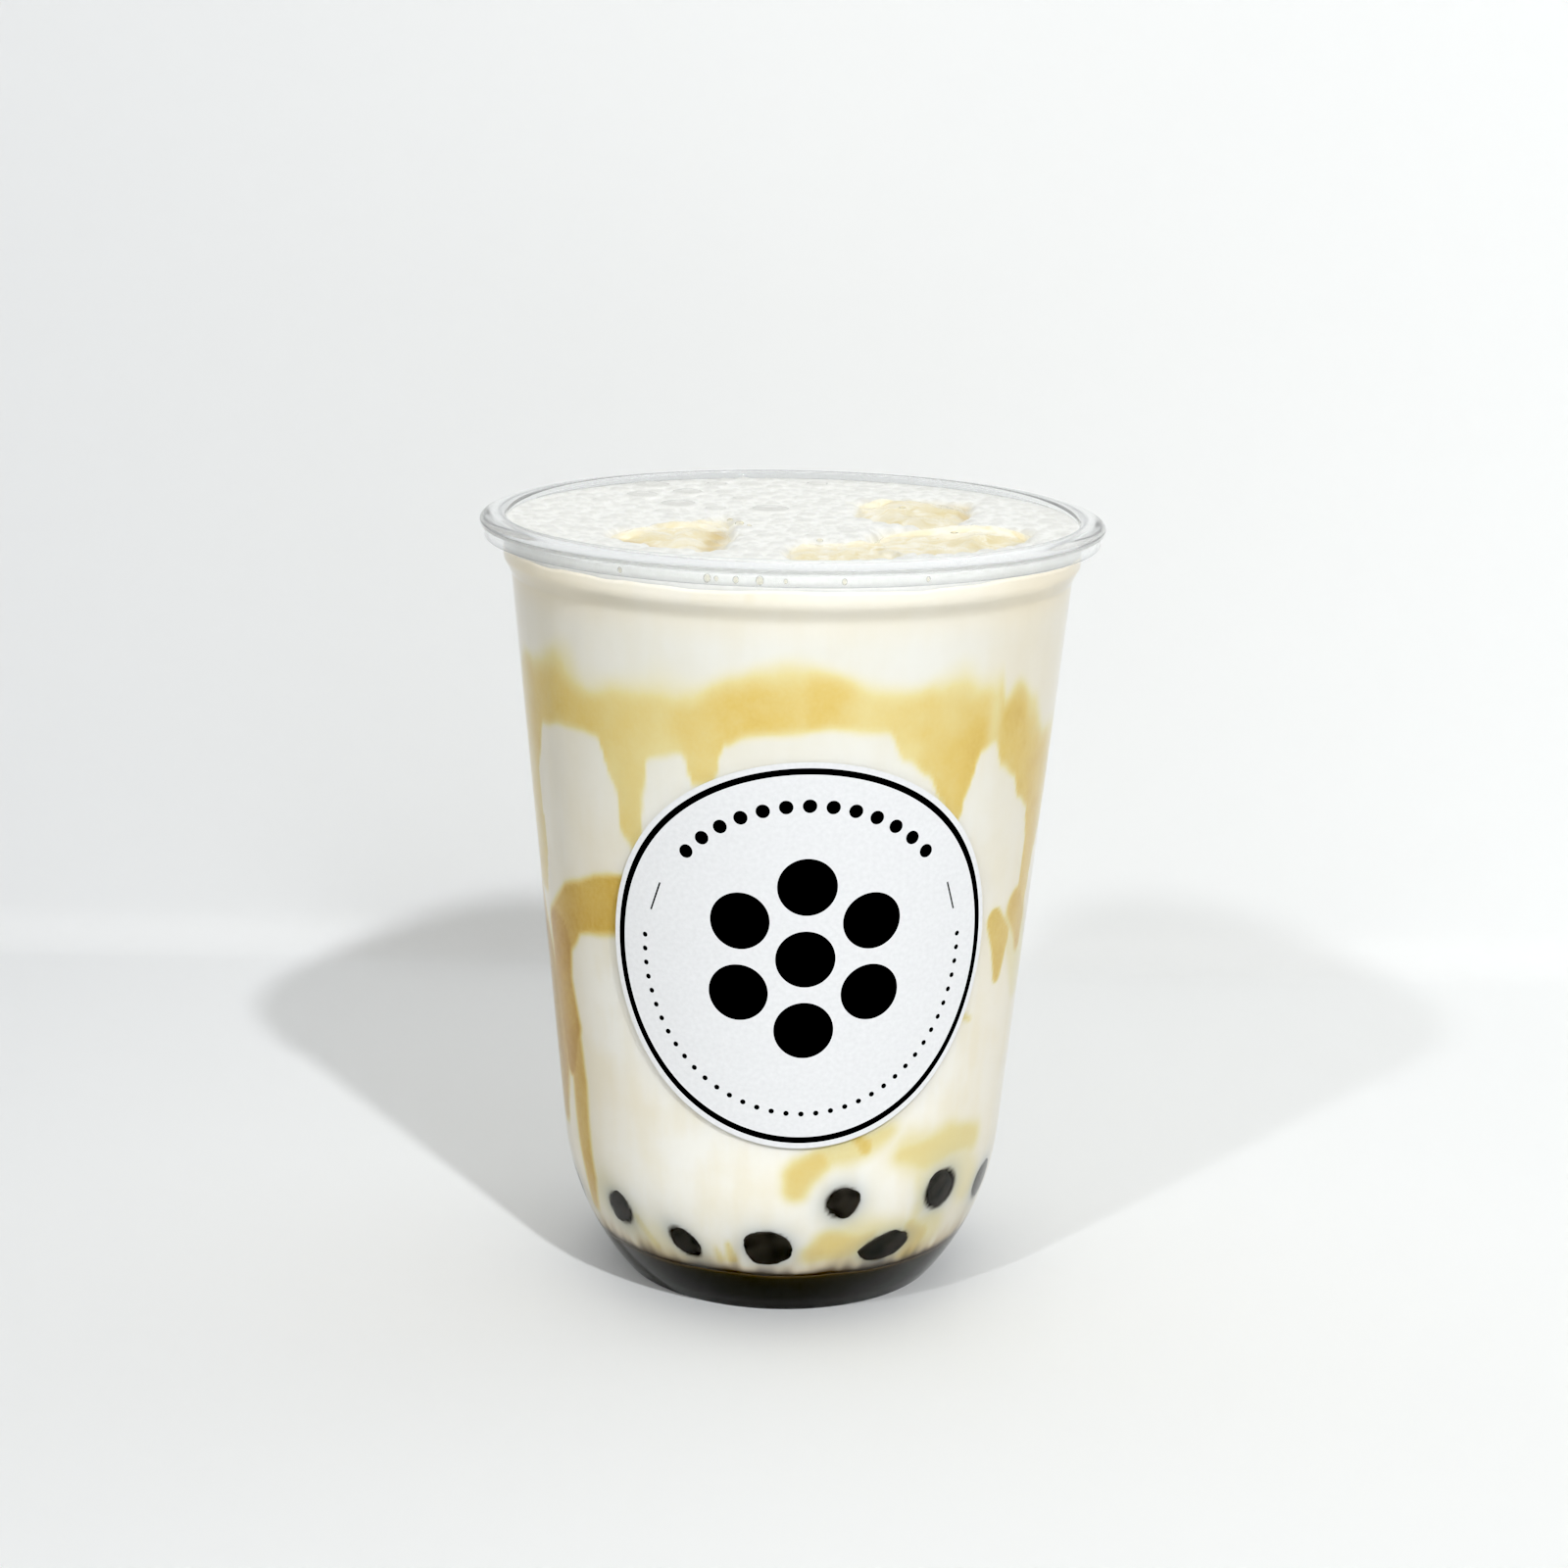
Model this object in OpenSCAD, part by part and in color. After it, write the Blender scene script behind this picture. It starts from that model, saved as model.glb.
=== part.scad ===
// Bubble tea in a clear U-shaped takeaway cup: rounded heel, straight tapered wall, stacking
// shoulder, neck and a turned-down rim. The drink stands in three layers (dark syrup, milk tea,
// froth) and a round paper label is stuck on the wall.
// Origin at the centre of the foot, +Z up, label facing -Y. Millimetres.

/* [Cup] */
// Height from the table to the crest of the rim
cup_h = 120; // [100:1:150]
// Largest diameter, at the rim's lip
rim_d = 95; // [80:1:115]
// Wall thickness
wall_t = 0.6; // [0.4:0.05:0.9]
// Angle of the straight wall from the vertical
draft = 5.4; // [3:0.1:7]
// Height where the heel's curve runs into the straight wall
heel_h = 23; // [15:1:28]
// How far the foot lies inside the straight wall's own line, at the table
foot_inset = 7.5; // [4:0.1:9]
// Radius of the small corner where the heel meets the table
foot_corner_r = 1.2; // [1:0.1:1.6]

/* [Foot] */
// Width of the ring that the cup stands on
foot_ring_w = 3; // [2.5:0.1:5]
// Rise of the bottom inside that ring
push_up = 1.5; // [1:0.1:2.5]
// Radius of the two bends of that rise
push_up_bend_r = 0.8; // [0.7:0.05:1]

/* [Neck and shoulder] */
// Radial step from the wall out to the neck, which the next cup in a stack rests on
shoulder_step = 1.2; // [0.8:0.1:2]
// Height of the sloping step
shoulder_h = 2.3; // [1.8:0.1:3.5]
// Depth of the step's upper edge below the crest
neck_h = 6.7; // [5.5:0.1:9]
// Radius of the step's two bends, on the outside
shoulder_bend_r = 1.2; // [1:0.1:1.4]

/* [Rim] */
// Overhang of the rim beyond the neck
rim_w = 3.5; // [3:0.1:5]
// Distance of the crest from the lip, level
crest_in = 3.1; // [2.7:0.1:3.5]
// Fall of the rim from the crest to the lip
rim_fall = 1.2; // [0.8:0.1:1.5]
// Thickness of the lip
lip_t = 0.5; // [0.4:0.05:0.7]
// How far the lip stands out past the skirt
lip_out = 0.7; // [0.4:0.1:1]
// Depth of the skirt's lower edge below the crest
skirt_h = 3.5; // [2.8:0.1:4.5]
// Thickness of the skirt
skirt_t = 0.6; // [0.5:0.05:0.8]

/* [Drink] */
// Depth of the drink's surface below the crest
headroom = 1.5; // [1.3:0.1:10]
// Thickness of the froth
froth_t = 3.2; // [1.5:0.1:8]
// Depth of the dark syrup on the cup's floor, from the table
syrup_h = 7; // [4:0.5:14]

/* [Label] */
// Diameter of the round label
label_d = 60.4; // [40:0.1:66]
// Height of its middle
label_z = 60.4; // [50:0.1:70]
// Turn of the label from the front towards +X
label_turn = 4.6; // [-180:0.1:180]
// Thickness of the label
label_t = 0.2; // [0.1:0.05:0.3]

/* [Hidden] */

// Smoothness
heel_steps = 28;
bend_steps = 6;
crest_steps = 10;
label_steps = 72;
$fn = 180;

// Radii that follow from the sizes above
neck_r = rim_d / 2 - rim_w;
shoulder_r = neck_r - shoulder_step;
shoulder_z = cup_h - neck_h - shoulder_h;
wall_foot_r = shoulder_r - shoulder_z * tan(draft);
foot_r = wall_foot_r - foot_inset;
ring_r = foot_r - foot_ring_w;

// Heel: the arc that is tangent to the wall at heel_h and ends in the foot's corner
wall_dir = [sin(draft), cos(draft)];
wall_out = [cos(draft), -sin(draft)];
heel_top = [wall_foot_r + heel_h * tan(draft), heel_h];
heel_span = heel_top - [foot_r, 0];
heel_r = (heel_span * heel_span) / (2 * (heel_span * wall_out));
heel_c = heel_top - heel_r * wall_out;
heel_a0 = atan2(-heel_c[1], foot_r - heel_c[0]);
heel_a1 = -draft;

// Levels of the drink
surface_z = cup_h - headroom;
froth_z = surface_z - froth_t;

// A point at distance r and angle a from c
function polar(c, r, a) = c + r * [cos(a), sin(a)];

// The corner q between p and s, rounded to radius r
function bend(p, q, s, r) =
    let (u = (p - q) / norm(p - q),
         v = (s - q) / norm(s - q),
         half = acos(max(-1, min(1, u * v))) / 2,
         reach = r / tan(half),
         mid = (u + v) / norm(u + v),
         c = q + mid * (r / sin(half)),
         a = q + u * reach - c,
         b = q + v * reach - c,
         turn = atan2(a[0] * b[1] - a[1] * b[0], a * b),
         start = atan2(a[1], a[0]))
    [for (i = [0 : bend_steps]) polar(c, r, start + turn * i / bend_steps)];

// Point i of the heel's arc, o inside the outer skin
function heel_point(i, o) =
    polar(heel_c, heel_r - o, heel_a0 + (heel_a1 - heel_a0) * i / heel_steps);

// The corner between the heel and the level floor, o inside the outer skin
function foot_corner(o) =
    let (c = heel_c, r = heel_r - o, z = o)
    [c[0] + sqrt(r * r - pow(z - c[1], 2)), z];

// The cup's skin from the axis up to the top of the neck, o inside the outer skin.
// The bends that are hollow outside get tighter inside, and the others wider.
function skin(o) =
    let (centre = [0, push_up + o],
         rise_top = [ring_r - push_up, push_up + o],
         rise_foot = [ring_r, o],
         corner = foot_corner(o),
         first = heel_point(3, o),
         wall_top = [shoulder_r - o / cos(draft), shoulder_z],
         neck_foot = [neck_r - o, cup_h - neck_h],
         neck_top = [neck_r - o, cup_h - skirt_h])
    concat(
        [centre],
        bend(centre, rise_top, rise_foot, push_up_bend_r),
        bend(rise_top, rise_foot, corner, push_up_bend_r),
        bend(rise_foot, corner, first, foot_corner_r - o),
        [for (i = [3 : heel_steps]) heel_point(i, o)],
        bend(heel_point(heel_steps, o), wall_top, neck_foot, shoulder_bend_r + o),
        bend(wall_top, neck_foot, neck_top, shoulder_bend_r - o),
        [neck_top]);

// The rim, from the neck's outside round to its inside: underside, skirt, lip, crest
function rim() =
    let (lip_r = rim_d / 2,
         skirt_r = lip_r - lip_out,
         crest_r = lip_r - crest_in,
         lip_z = cup_h - rim_fall,
         under_z = lip_z - lip_t,
         throat_r = neck_r - wall_t,
         outer = bend([crest_r, cup_h], [lip_r, lip_z], [lip_r, under_z], lip_t / 2),
         n = crest_steps)
    concat(
        [[neck_r, under_z], [skirt_r - skirt_t, under_z - lip_t / 2]],
        [[skirt_r - skirt_t, cup_h - skirt_h], [skirt_r, cup_h - skirt_h]],
        [[skirt_r, under_z], [lip_r - lip_t / 4, under_z]],
        [for (i = [0 : n]) let (a = 90 * i / n)
            [crest_r + (lip_r - crest_r) * cos(a), lip_z + rim_fall * sin(a)]],
        [for (i = [1 : n]) let (a = 90 * i / n)
            [crest_r - (crest_r - throat_r) * sin(a), lip_z + rim_fall * cos(a)]]);

function reversed(p) = [for (i = [len(p) - 1 : -1 : 0]) p[i]];

// Clear plastic cup
module cup() {
    color([0.92, 0.95, 0.97, 0.35])
        rotate_extrude()
            polygon(concat(skin(0), rim(), reversed(skin(wall_t))));
}

// All that the cup holds between two levels
module fill(low_z, high_z) {
    inside = skin(wall_t);
    throat_r = neck_r - wall_t;
    intersection() {
        rotate_extrude()
            polygon(concat(inside, [[throat_r, surface_z], [0, surface_z]]));
        translate([0, 0, low_z])
            cylinder(h = high_z - low_z, r = rim_d / 2);
    }
}

// Dark brown-sugar syrup on the floor
module syrup() {
    color([0.09, 0.06, 0.04]) fill(0, syrup_h);
}

// Milk tea with syrup running down inside the wall
module milk_tea() {
    color([0.94, 0.90, 0.80]) fill(syrup_h, froth_z);
}

// Froth up to the drink's surface
module froth() {
    color([0.95, 0.95, 0.93]) fill(froth_z, surface_z);
}

// Outline of a flat disc of radius r wrapped round the cone of the wall, seen square on.
// The wall unrolls to a sector, on which the disc is a true circle.
function wrapped_disc(r) =
    let (middle = (wall_foot_r + label_z * tan(draft)) / sin(draft))
    [for (i = [0 : label_steps - 1])
        let (a = 360 * i / label_steps,
             across = r * cos(a),
             along = middle + r * sin(a),
             slant = norm([across, along]),
             turn = atan2(across, along) / sin(draft),
             wall_r = slant * sin(draft))
        [wall_r * sin(turn), (wall_r - wall_foot_r) / tan(draft)]];

// Round paper label, wrapped on the straight wall
module label() {
    skin_r = wall_foot_r;
    proud = label_t / cos(draft);
    color([0.96, 0.96, 0.97])
        rotate([0, 0, label_turn])
            intersection() {
                difference() {
                    cylinder(h = shoulder_z, r1 = skin_r + proud, r2 = shoulder_r + proud);
                    cylinder(h = shoulder_z, r1 = skin_r, r2 = shoulder_r);
                }
                rotate([90, 0, 0])
                    linear_extrude(height = rim_d / 2)
                        polygon(wrapped_disc(label_d / 2));
            }
}

cup();
syrup();
milk_tea();
froth();
label();
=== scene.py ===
# %% [markdown]
# # Bubble tea in a clear cup
#
# This file dresses a imported CAD model of a takeaway bubble tea. The CAD model knows the true
# sizes: a clear cup 120 mm tall, dark syrup on its floor, milk tea above it, froth at the top and
# a round label on the wall. Here each of them gets the look of the real thing.
#
# The first cell loads the model as a fixed frame. Nothing in it is moved: every piece made below takes its
# place from it.

# %% Load the frame
import math

import bmesh
import bpy
import numpy as np
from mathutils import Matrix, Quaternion, Vector


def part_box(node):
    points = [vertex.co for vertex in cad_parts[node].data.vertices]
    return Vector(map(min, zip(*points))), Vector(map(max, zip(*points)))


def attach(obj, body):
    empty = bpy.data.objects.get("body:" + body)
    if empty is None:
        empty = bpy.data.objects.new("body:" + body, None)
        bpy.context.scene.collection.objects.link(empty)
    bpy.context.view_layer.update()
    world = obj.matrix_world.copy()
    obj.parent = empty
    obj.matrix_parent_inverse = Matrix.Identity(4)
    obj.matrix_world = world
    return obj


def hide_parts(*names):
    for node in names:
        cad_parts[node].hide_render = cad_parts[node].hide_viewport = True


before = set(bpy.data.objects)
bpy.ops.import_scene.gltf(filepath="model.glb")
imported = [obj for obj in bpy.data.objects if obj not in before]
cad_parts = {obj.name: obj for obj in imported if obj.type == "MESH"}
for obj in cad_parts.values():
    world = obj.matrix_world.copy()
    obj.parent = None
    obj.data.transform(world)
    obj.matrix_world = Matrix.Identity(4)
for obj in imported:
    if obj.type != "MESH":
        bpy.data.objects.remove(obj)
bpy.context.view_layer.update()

MM = 0.001
print("nodes:", sorted(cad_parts))

# %% [markdown]
# ## Places on a round cup
#
# Everything on a cup is easiest to place by its azimuth, its height and its distance from the
# axis. Azimuth 0 is the front, where the label is, and it grows towards +X. A small function turns
# these three into X, Y and Z. All sizes are in millimetres until a mesh is made, because a cup is
# a thing of millimetres; Blender's own unit is the metre.


# %% Round places and heights
def place(radius, azimuth, height):
    """Points from a distance from the axis in mm, an azimuth in degrees and a height in mm."""
    radius, turn, height = np.broadcast_arrays(radius, np.radians(azimuth), height)
    return np.stack([radius * np.sin(turn), -radius * np.cos(turn), height], axis=-1)


def level(node, end):
    """Height in mm of a node's lowest (0) or highest (1) point."""
    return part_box(node)[end][2] / MM


RIM_TOP = level("cup", 1)
RIM_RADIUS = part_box("cup")[1][0] / MM
SYRUP_TOP = level("syrup", 1)
MILK_TOP = level("milk_tea", 1)
SURFACE = level("froth", 1)
LABEL_MIDDLE = (level("label", 0) + level("label", 1)) / 2
print(f"syrup to {SYRUP_TOP:.1f}, milk tea to {MILK_TOP:.1f}, froth to {SURFACE:.1f} mm")

# %% [markdown]
# ## Camera
#
# The camera stands a little under half a metre in front of the cup and looks down on it by
# about sixteen degrees. A lens of 71 mm on a 36 mm sensor keeps the cup's sides nearly parallel,
# as in most product pictures. The camera is tipped up by two degrees, so the cup sits below the
# middle of the frame, and it leans by one degree, as a hand-held camera does. Tipping the camera
# keeps the lens shift at zero.

# %% Make the camera
CAMERA_DISTANCE = 483.9
CAMERA_ELEVATION = 15.76
CAMERA_TIP = 1.98
CAMERA_PAN = 0.07
CAMERA_LEAN = 1.09
LENS = 70.76

aim = np.array([0.0, 0.0, RIM_TOP / 2])
rise = math.radians(CAMERA_ELEVATION)
camera_place = aim + CAMERA_DISTANCE * np.array([0.0, -math.cos(rise), math.sin(rise)])
sight = math.radians(CAMERA_ELEVATION - CAMERA_TIP)
pan = math.radians(CAMERA_PAN)
direction = Vector((-math.sin(pan), math.cos(pan) * math.cos(sight), -math.sin(sight)))

camera = bpy.data.objects.new("camera", bpy.data.cameras.new("camera"))
bpy.context.collection.objects.link(camera)
camera.data.sensor_width = 36
camera.data.lens = LENS
camera.location = camera_place * MM
camera.rotation_mode = "QUATERNION"
lean = Quaternion((0, 0, 1), math.radians(CAMERA_LEAN))
camera.rotation_quaternion = direction.to_track_quat("-Z", "Y") @ lean
bpy.context.scene.camera = camera
print("camera at", [round(float(value)) for value in camera_place], "mm")

# %% [markdown]
# ## Colours and nodes
#
# A colour is easiest to read and write as a hex number, the way it looks on a screen. Cycles
# reckons with linear light, so one function turns the one into the other. A second function adds
# a shader node, sets its sockets and joins it to others: a value that is an output of another
# node becomes a link. Every material below is made with these two.
#
# A socket is named as in Blender, with a low line for each space. Nodes such as Math and Mix have
# several sockets of one name, so i0, i1 and so on name a socket by its number.


# %% Colour and node helpers
def linear(hex_colour):
    """Linear RGBA from an sRGB hex colour such as '#f4f1e8'."""
    parts = [int(hex_colour[i : i + 2], 16) / 255 for i in (1, 3, 5)]
    light = [p / 12.92 if p <= 0.04045 else ((p + 0.055) / 1.055) ** 2.4 for p in parts]
    return (*light, 1.0)


def add(tree, kind, settings=None, stops=(), **sockets):
    """Adds a node with its own settings, a ramp's (place, hex colour) stops, and its sockets."""
    node = tree.nodes.new(kind)
    for name, value in (settings or {}).items():
        setattr(node, name, value)
    for _ in stops[2:]:
        node.color_ramp.elements.new(1.0)
    for number, (where, colour) in enumerate(stops):
        node.color_ramp.elements[number].position = where
        node.color_ramp.elements[number].color = linear(colour)
    for name, value in sockets.items():
        by_number = name[1:].isdigit()
        socket = node.inputs[int(name[1:]) if by_number else name.replace("_", " ")]
        if isinstance(value, bpy.types.NodeSocket):
            tree.links.new(value, socket)
        else:
            socket.default_value = value
    return node


def new_material(name):
    """An empty material, its node tree and its output node."""
    material = bpy.data.materials.new(name)
    material.use_nodes = True
    material.node_tree.nodes.clear()
    return material, material.node_tree, material.node_tree.nodes.new("ShaderNodeOutputMaterial")


print("white is", linear("#ffffff"))

# %% [markdown]
# ## Table, backdrop and lamps
#
# The cup stands on a white floor with a white wall 160 mm behind it. Two lamps hang in front, one
# on each side, about forty degrees up. They are far off, so each throws a crisp shadow across the
# floor and a little way up the wall. Everything else is lit by the white room, which the world
# stands for: a soft grey that is brighter to the right.
#
# The card is painted a little greyer to the left: painted shade, where less of the room's light falls on that
# side. The wall's shader lets light through from behind: otherwise a camera that goes round the cup would
# find itself looking at the back of the wall.

# %% Build the stage
WALL_BEHIND = 160
COVE = 9
STAGE_HALF = 1500
STAGE_HEIGHT = 1500
COVE_STEPS = 8
CARD_FADE = 170


def make_stage():
    """Floor and back wall in one sheet, joined by a small cove."""
    sweep = [(-STAGE_HALF, 0.0), (WALL_BEHIND - COVE, 0.0)]
    for step in range(1, COVE_STEPS + 1):
        turn = math.radians(90 * step / COVE_STEPS)
        sweep.append((WALL_BEHIND - COVE + COVE * math.sin(turn), COVE - COVE * math.cos(turn)))
    sweep.append((WALL_BEHIND, STAGE_HEIGHT))
    points = [(x * MM, y * MM, z * MM) for y, z in sweep for x in (-STAGE_HALF, STAGE_HALF)]
    faces = [(2 * i, 2 * i + 1, 2 * i + 3, 2 * i + 2) for i in range(len(sweep) - 1)]
    mesh = bpy.data.meshes.new("stage")
    mesh.from_pydata(points, [], faces)
    mesh.shade_smooth()
    stage = bpy.data.objects.new("stage", mesh)
    bpy.context.collection.objects.link(stage)
    material, tree, out = new_material("white_card")
    where = add(tree, "ShaderNodeTexCoord").outputs["Object"]
    across = add(tree, "ShaderNodeSeparateXYZ", i0=where).outputs["X"]
    side = add(tree, "ShaderNodeMapRange", i0=across, i1=-CARD_FADE * MM, i2=CARD_FADE * MM).outputs[0]
    # painted shade: the card is greyer to the left, where less of the room's light falls
    card_colour_and_shade = add(
        tree, "ShaderNodeValToRGB", Fac=side,
        stops=[(0.0, "#edeeef"), (0.5, "#f9fafa"), (1.0, "#fcfdfd")],
    ).outputs["Color"]
    card = add(tree, "ShaderNodeBsdfPrincipled", Base_Color=card_colour_and_shade, Roughness=0.7)
    behind = add(tree, "ShaderNodeNewGeometry").outputs["Backfacing"]
    clear = add(tree, "ShaderNodeBsdfTransparent")
    both = add(tree, "ShaderNodeMixShader", i0=behind,
               i1=card.outputs[0], i2=clear.outputs[0])
    tree.links.new(both.outputs[0], out.inputs["Surface"])
    mesh.materials.append(material)


make_stage()
print("back wall", WALL_BEHIND, "mm behind the axis")

# %% Place the lamps and set the world
LAMP_DISTANCE = 2500
LAMP_AIM = 60
LAMPS = [
    # name, azimuth and elevation seen from the rim, width in mm, watts
    ("lamp_right", 24.7, 40.3, 100, 26),
    ("lamp_left", -33.5, 37.3, 110, 10.5),
]

for name, azimuth, elevation, width, watts in LAMPS:
    lamp = bpy.data.objects.new(name, bpy.data.lights.new(name, "AREA"))
    bpy.context.collection.objects.link(lamp)
    lamp.data.shape = "DISK"
    lamp.data.size = width * MM
    lamp.data.energy = watts
    lamp.data.color = linear("#fbfdff")[:3]
    away = math.radians(elevation)
    spot = place(LAMP_DISTANCE * math.cos(away), azimuth, RIM_TOP + LAMP_DISTANCE * math.sin(away))
    lamp.location = spot * MM
    lamp.rotation_mode = "QUATERNION"
    lamp.rotation_quaternion = (Vector((0, 0, LAMP_AIM * MM)) - lamp.location).to_track_quat("-Z", "Y")
    print(name, "at", spot.round(), "mm")

world = bpy.data.worlds.new("white_room")
bpy.context.scene.world = world
world.use_nodes = True
room = world.node_tree
way = add(room, "ShaderNodeSeparateXYZ", i0=add(room, "ShaderNodeTexCoord").outputs["Generated"])
side = add(room, "ShaderNodeMapRange", i0=way.outputs["X"], i1=-1.0, i2=1.0)
grey = add(
    room, "ShaderNodeValToRGB", Fac=side.outputs[0],
    stops=[(0.0, "#a3a29d"), (1.0, "#afaeac")],
).outputs["Color"]
room.links.new(grey, room.nodes["Background"].inputs["Color"])

# %% [markdown]
# Product pictures have deep blacks: whatever is darker than 3.5 % of white becomes black, which
# the view's curve does. Light bounces up to twelve times, because the rim is a thick ring of
# plastic that light runs round in; with fewer bounces its ends would turn black.

# %% Set the blacks and the bounces
BLACK_POINT = 0.035
view = bpy.context.scene.view_settings
view.view_transform = "Standard"
view.use_curve_mapping = True
view.curve_mapping.black_level = (BLACK_POINT,) * 3
cycles = bpy.context.scene.cycles
cycles.max_bounces = 12
cycles.diffuse_bounces = 3
cycles.glossy_bounces = 12
cycles.adaptive_threshold = 0.03
print("bounces:", cycles.max_bounces, "in all,", cycles.diffuse_bounces, "off rough surfaces")

# %% [markdown]
# ## Turned meshes
#
# A cup and what fills it are all turned shapes: rings of points stacked along an outline. One
# function makes them all. It takes the radius and the height of every point as two tables, one
# row for each ring, so a ring may also be wavy. Each end of the stack closes on a point on the
# axis, which makes the piece a closed solid.


# %% Function for turned pieces
def turned(name, radius, height, material, attributes=None, crease=None):
    """A closed turned piece from tables of radius and height in mm, ring by ring."""
    rings, columns = radius.shape
    azimuth = np.arange(columns) * 360 / columns
    points = place(radius, azimuth[None, :], height).reshape(-1, 3)
    poles = [(0, 0, height[0].mean()), (0, 0, height[-1].mean())]
    points = np.concatenate([points, poles])
    here = np.arange(columns)
    after = (here + 1) % columns
    faces = []
    for ring in range(rings - 1):
        low = ring * columns
        high = low + columns
        faces += np.stack([low + here, low + after, high + after, high + here], axis=1).tolist()
    first, last = rings * columns, rings * columns + 1
    top = (rings - 1) * columns
    faces += [(int(b), int(a), first) for a, b in zip(here, after)]
    faces += [(int(top + a), int(top + b), last) for a, b in zip(here, after)]
    mesh = bpy.data.meshes.new(name)
    mesh.from_pydata((points * MM).tolist(), [], faces)
    mesh.shade_smooth()
    if crease:
        mesh.set_sharp_from_angle(angle=math.radians(crease))
    for key, table in (attributes or {}).items():
        values = np.append(table.reshape(-1), [table[0].mean(), table[-1].mean()])
        mesh.attributes.new(key, "FLOAT", "POINT").data.foreach_set("value", values.astype(np.float32))
    return finish_piece(name, mesh, material)


def finish_piece(name, mesh, material):
    """Puts a mesh in the scene, gives it its material and ties it to the part's one body."""
    mesh.materials.append(material)
    piece = bpy.data.objects.new(name, mesh)
    bpy.context.collection.objects.link(piece)
    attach(piece, "root")
    print(f"{name}: {len(mesh.vertices)} points, {len(mesh.polygons)} faces")
    return piece


# %% [markdown]
# ## Noise for shapes
#
# Liquids and food are never quite even. This noise is a block of random numbers, smoothly blended
# between its cells, which repeats after 32 cells. It is read in space, in millimetres, so it runs
# round the cup without a seam. The block comes from a seeded generator, so it is the same in
# every run.

# %% Smooth noise in numpy
NOISE_CELLS = 32
noise_block = np.random.default_rng(11).random((NOISE_CELLS,) * 3)


def noise(points, size, shift=0.0):
    """Values from -1 to 1 that change over about `size` mm."""
    scaled = points / size + shift
    cell = np.floor(scaled).astype(int)
    part = scaled - cell
    part = part * part * (3 - 2 * part)
    total = np.zeros(points.shape[:-1])
    for corner in np.ndindex(2, 2, 2):
        index = tuple((cell[..., axis] + corner[axis]) % NOISE_CELLS for axis in range(3))
        weight = np.ones(points.shape[:-1])
        for axis in range(3):
            weight = weight * (part[..., axis] if corner[axis] else 1 - part[..., axis])
        total += weight * noise_block[index]
    return total * 2 - 1


def eased(value, low, high):
    """0 below low, 1 above high and a smooth climb between them."""
    part = np.clip((value - low) / (high - low), 0, 1)
    return part * part * (3 - 2 * part)


print("noise at the front of the rim:", noise(np.array([[0.0, -45.0, 118.0]]), 5).round(2))

# %% [markdown]
# ## The cup's outline
#
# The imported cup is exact, but each of its bends is a chain of narrow cones, and on clear plastic
# each cone would show as a band. The same outline is turned again here with more sides and with
# normals that run on smoothly from one cone to the next.
#
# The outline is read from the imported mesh. Its points at the seam, where Y is zero and X is
# positive, form one chain: from the flat middle of the foot, up the outside, over the rim and
# down the inside to the floor. Long straight stretches get extra points close to their ends, so
# that the smoothing stays within the bends.


# %% Read the outline from the CAD cup
def seam_outline(node):
    """(radius, height) in mm along a turned node's seam, from its lower end to its upper one."""
    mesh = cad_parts[node].data
    places = {}
    for vertex in mesh.vertices:
        if abs(vertex.co.y) < 1e-7 and vertex.co.x > -1e-7:
            places[vertex.index] = (round(vertex.co.x / MM, 3), round(vertex.co.z / MM, 3))
    joined = {}
    for edge in mesh.edges:
        one, two = (places.get(index) for index in edge.vertices)
        if one and two and one != two:
            joined.setdefault(one, set()).add(two)
            joined.setdefault(two, set()).add(one)
    here = min((p for p in joined if len(joined[p]) == 1), key=lambda p: p[1])
    outline = [here]
    while True:
        onward = [p for p in joined[here] if p not in outline]
        if not onward:
            return np.array(outline)
        here = min(onward, key=lambda p: math.dist(p, here))
        outline.append(here)


def with_supports(outline, longest=1.2, margin=0.15):
    """The outline with long stretches split: a point close to each end, and even steps between."""
    result = [outline[0]]
    for start, end in zip(outline[:-1], outline[1:]):
        length = math.dist(start, end)
        if length > longest:
            inner = np.linspace(margin / length, 1 - margin / length, 2 + int(length / longest))
            result += [start + (end - start) * share for share in inner]
        result.append(end)
    return np.array(result)


cup_outline = seam_outline("cup")
print(f"cup outline: {len(cup_outline)} points, radius up to {cup_outline[:, 0].max():.2f} mm")

# %% [markdown]
# ## Clear polypropylene
#
# The cup is injection-moulded polypropylene: clear, glossy and 0.6 mm thick, with an index of
# refraction of 1.49. Its skin is not quite optically flat, because the melt freezes as it flows,
# and that gives the reflections a faint ripple some millimetres long.
#
# Real plastic lets the lamps shine on the drink inside. Cycles would need thousands of rays to
# find the lamps through it, so rays that look for a lamp pass through a Transparent shader
# instead, the usual way to light what is behind glass.
#
# Where the plastic is thick and sharply bent, little light comes through along it, so the crest of the rim,
# its lip and its hem would show as fine grey lines. Here these lines are painted shade: a grey painted into
# the plastic's colour. A fact stored on the mesh tells the material where they are.


# %% Make the clear plastic
RIPPLE_LENGTH = 9


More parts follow.
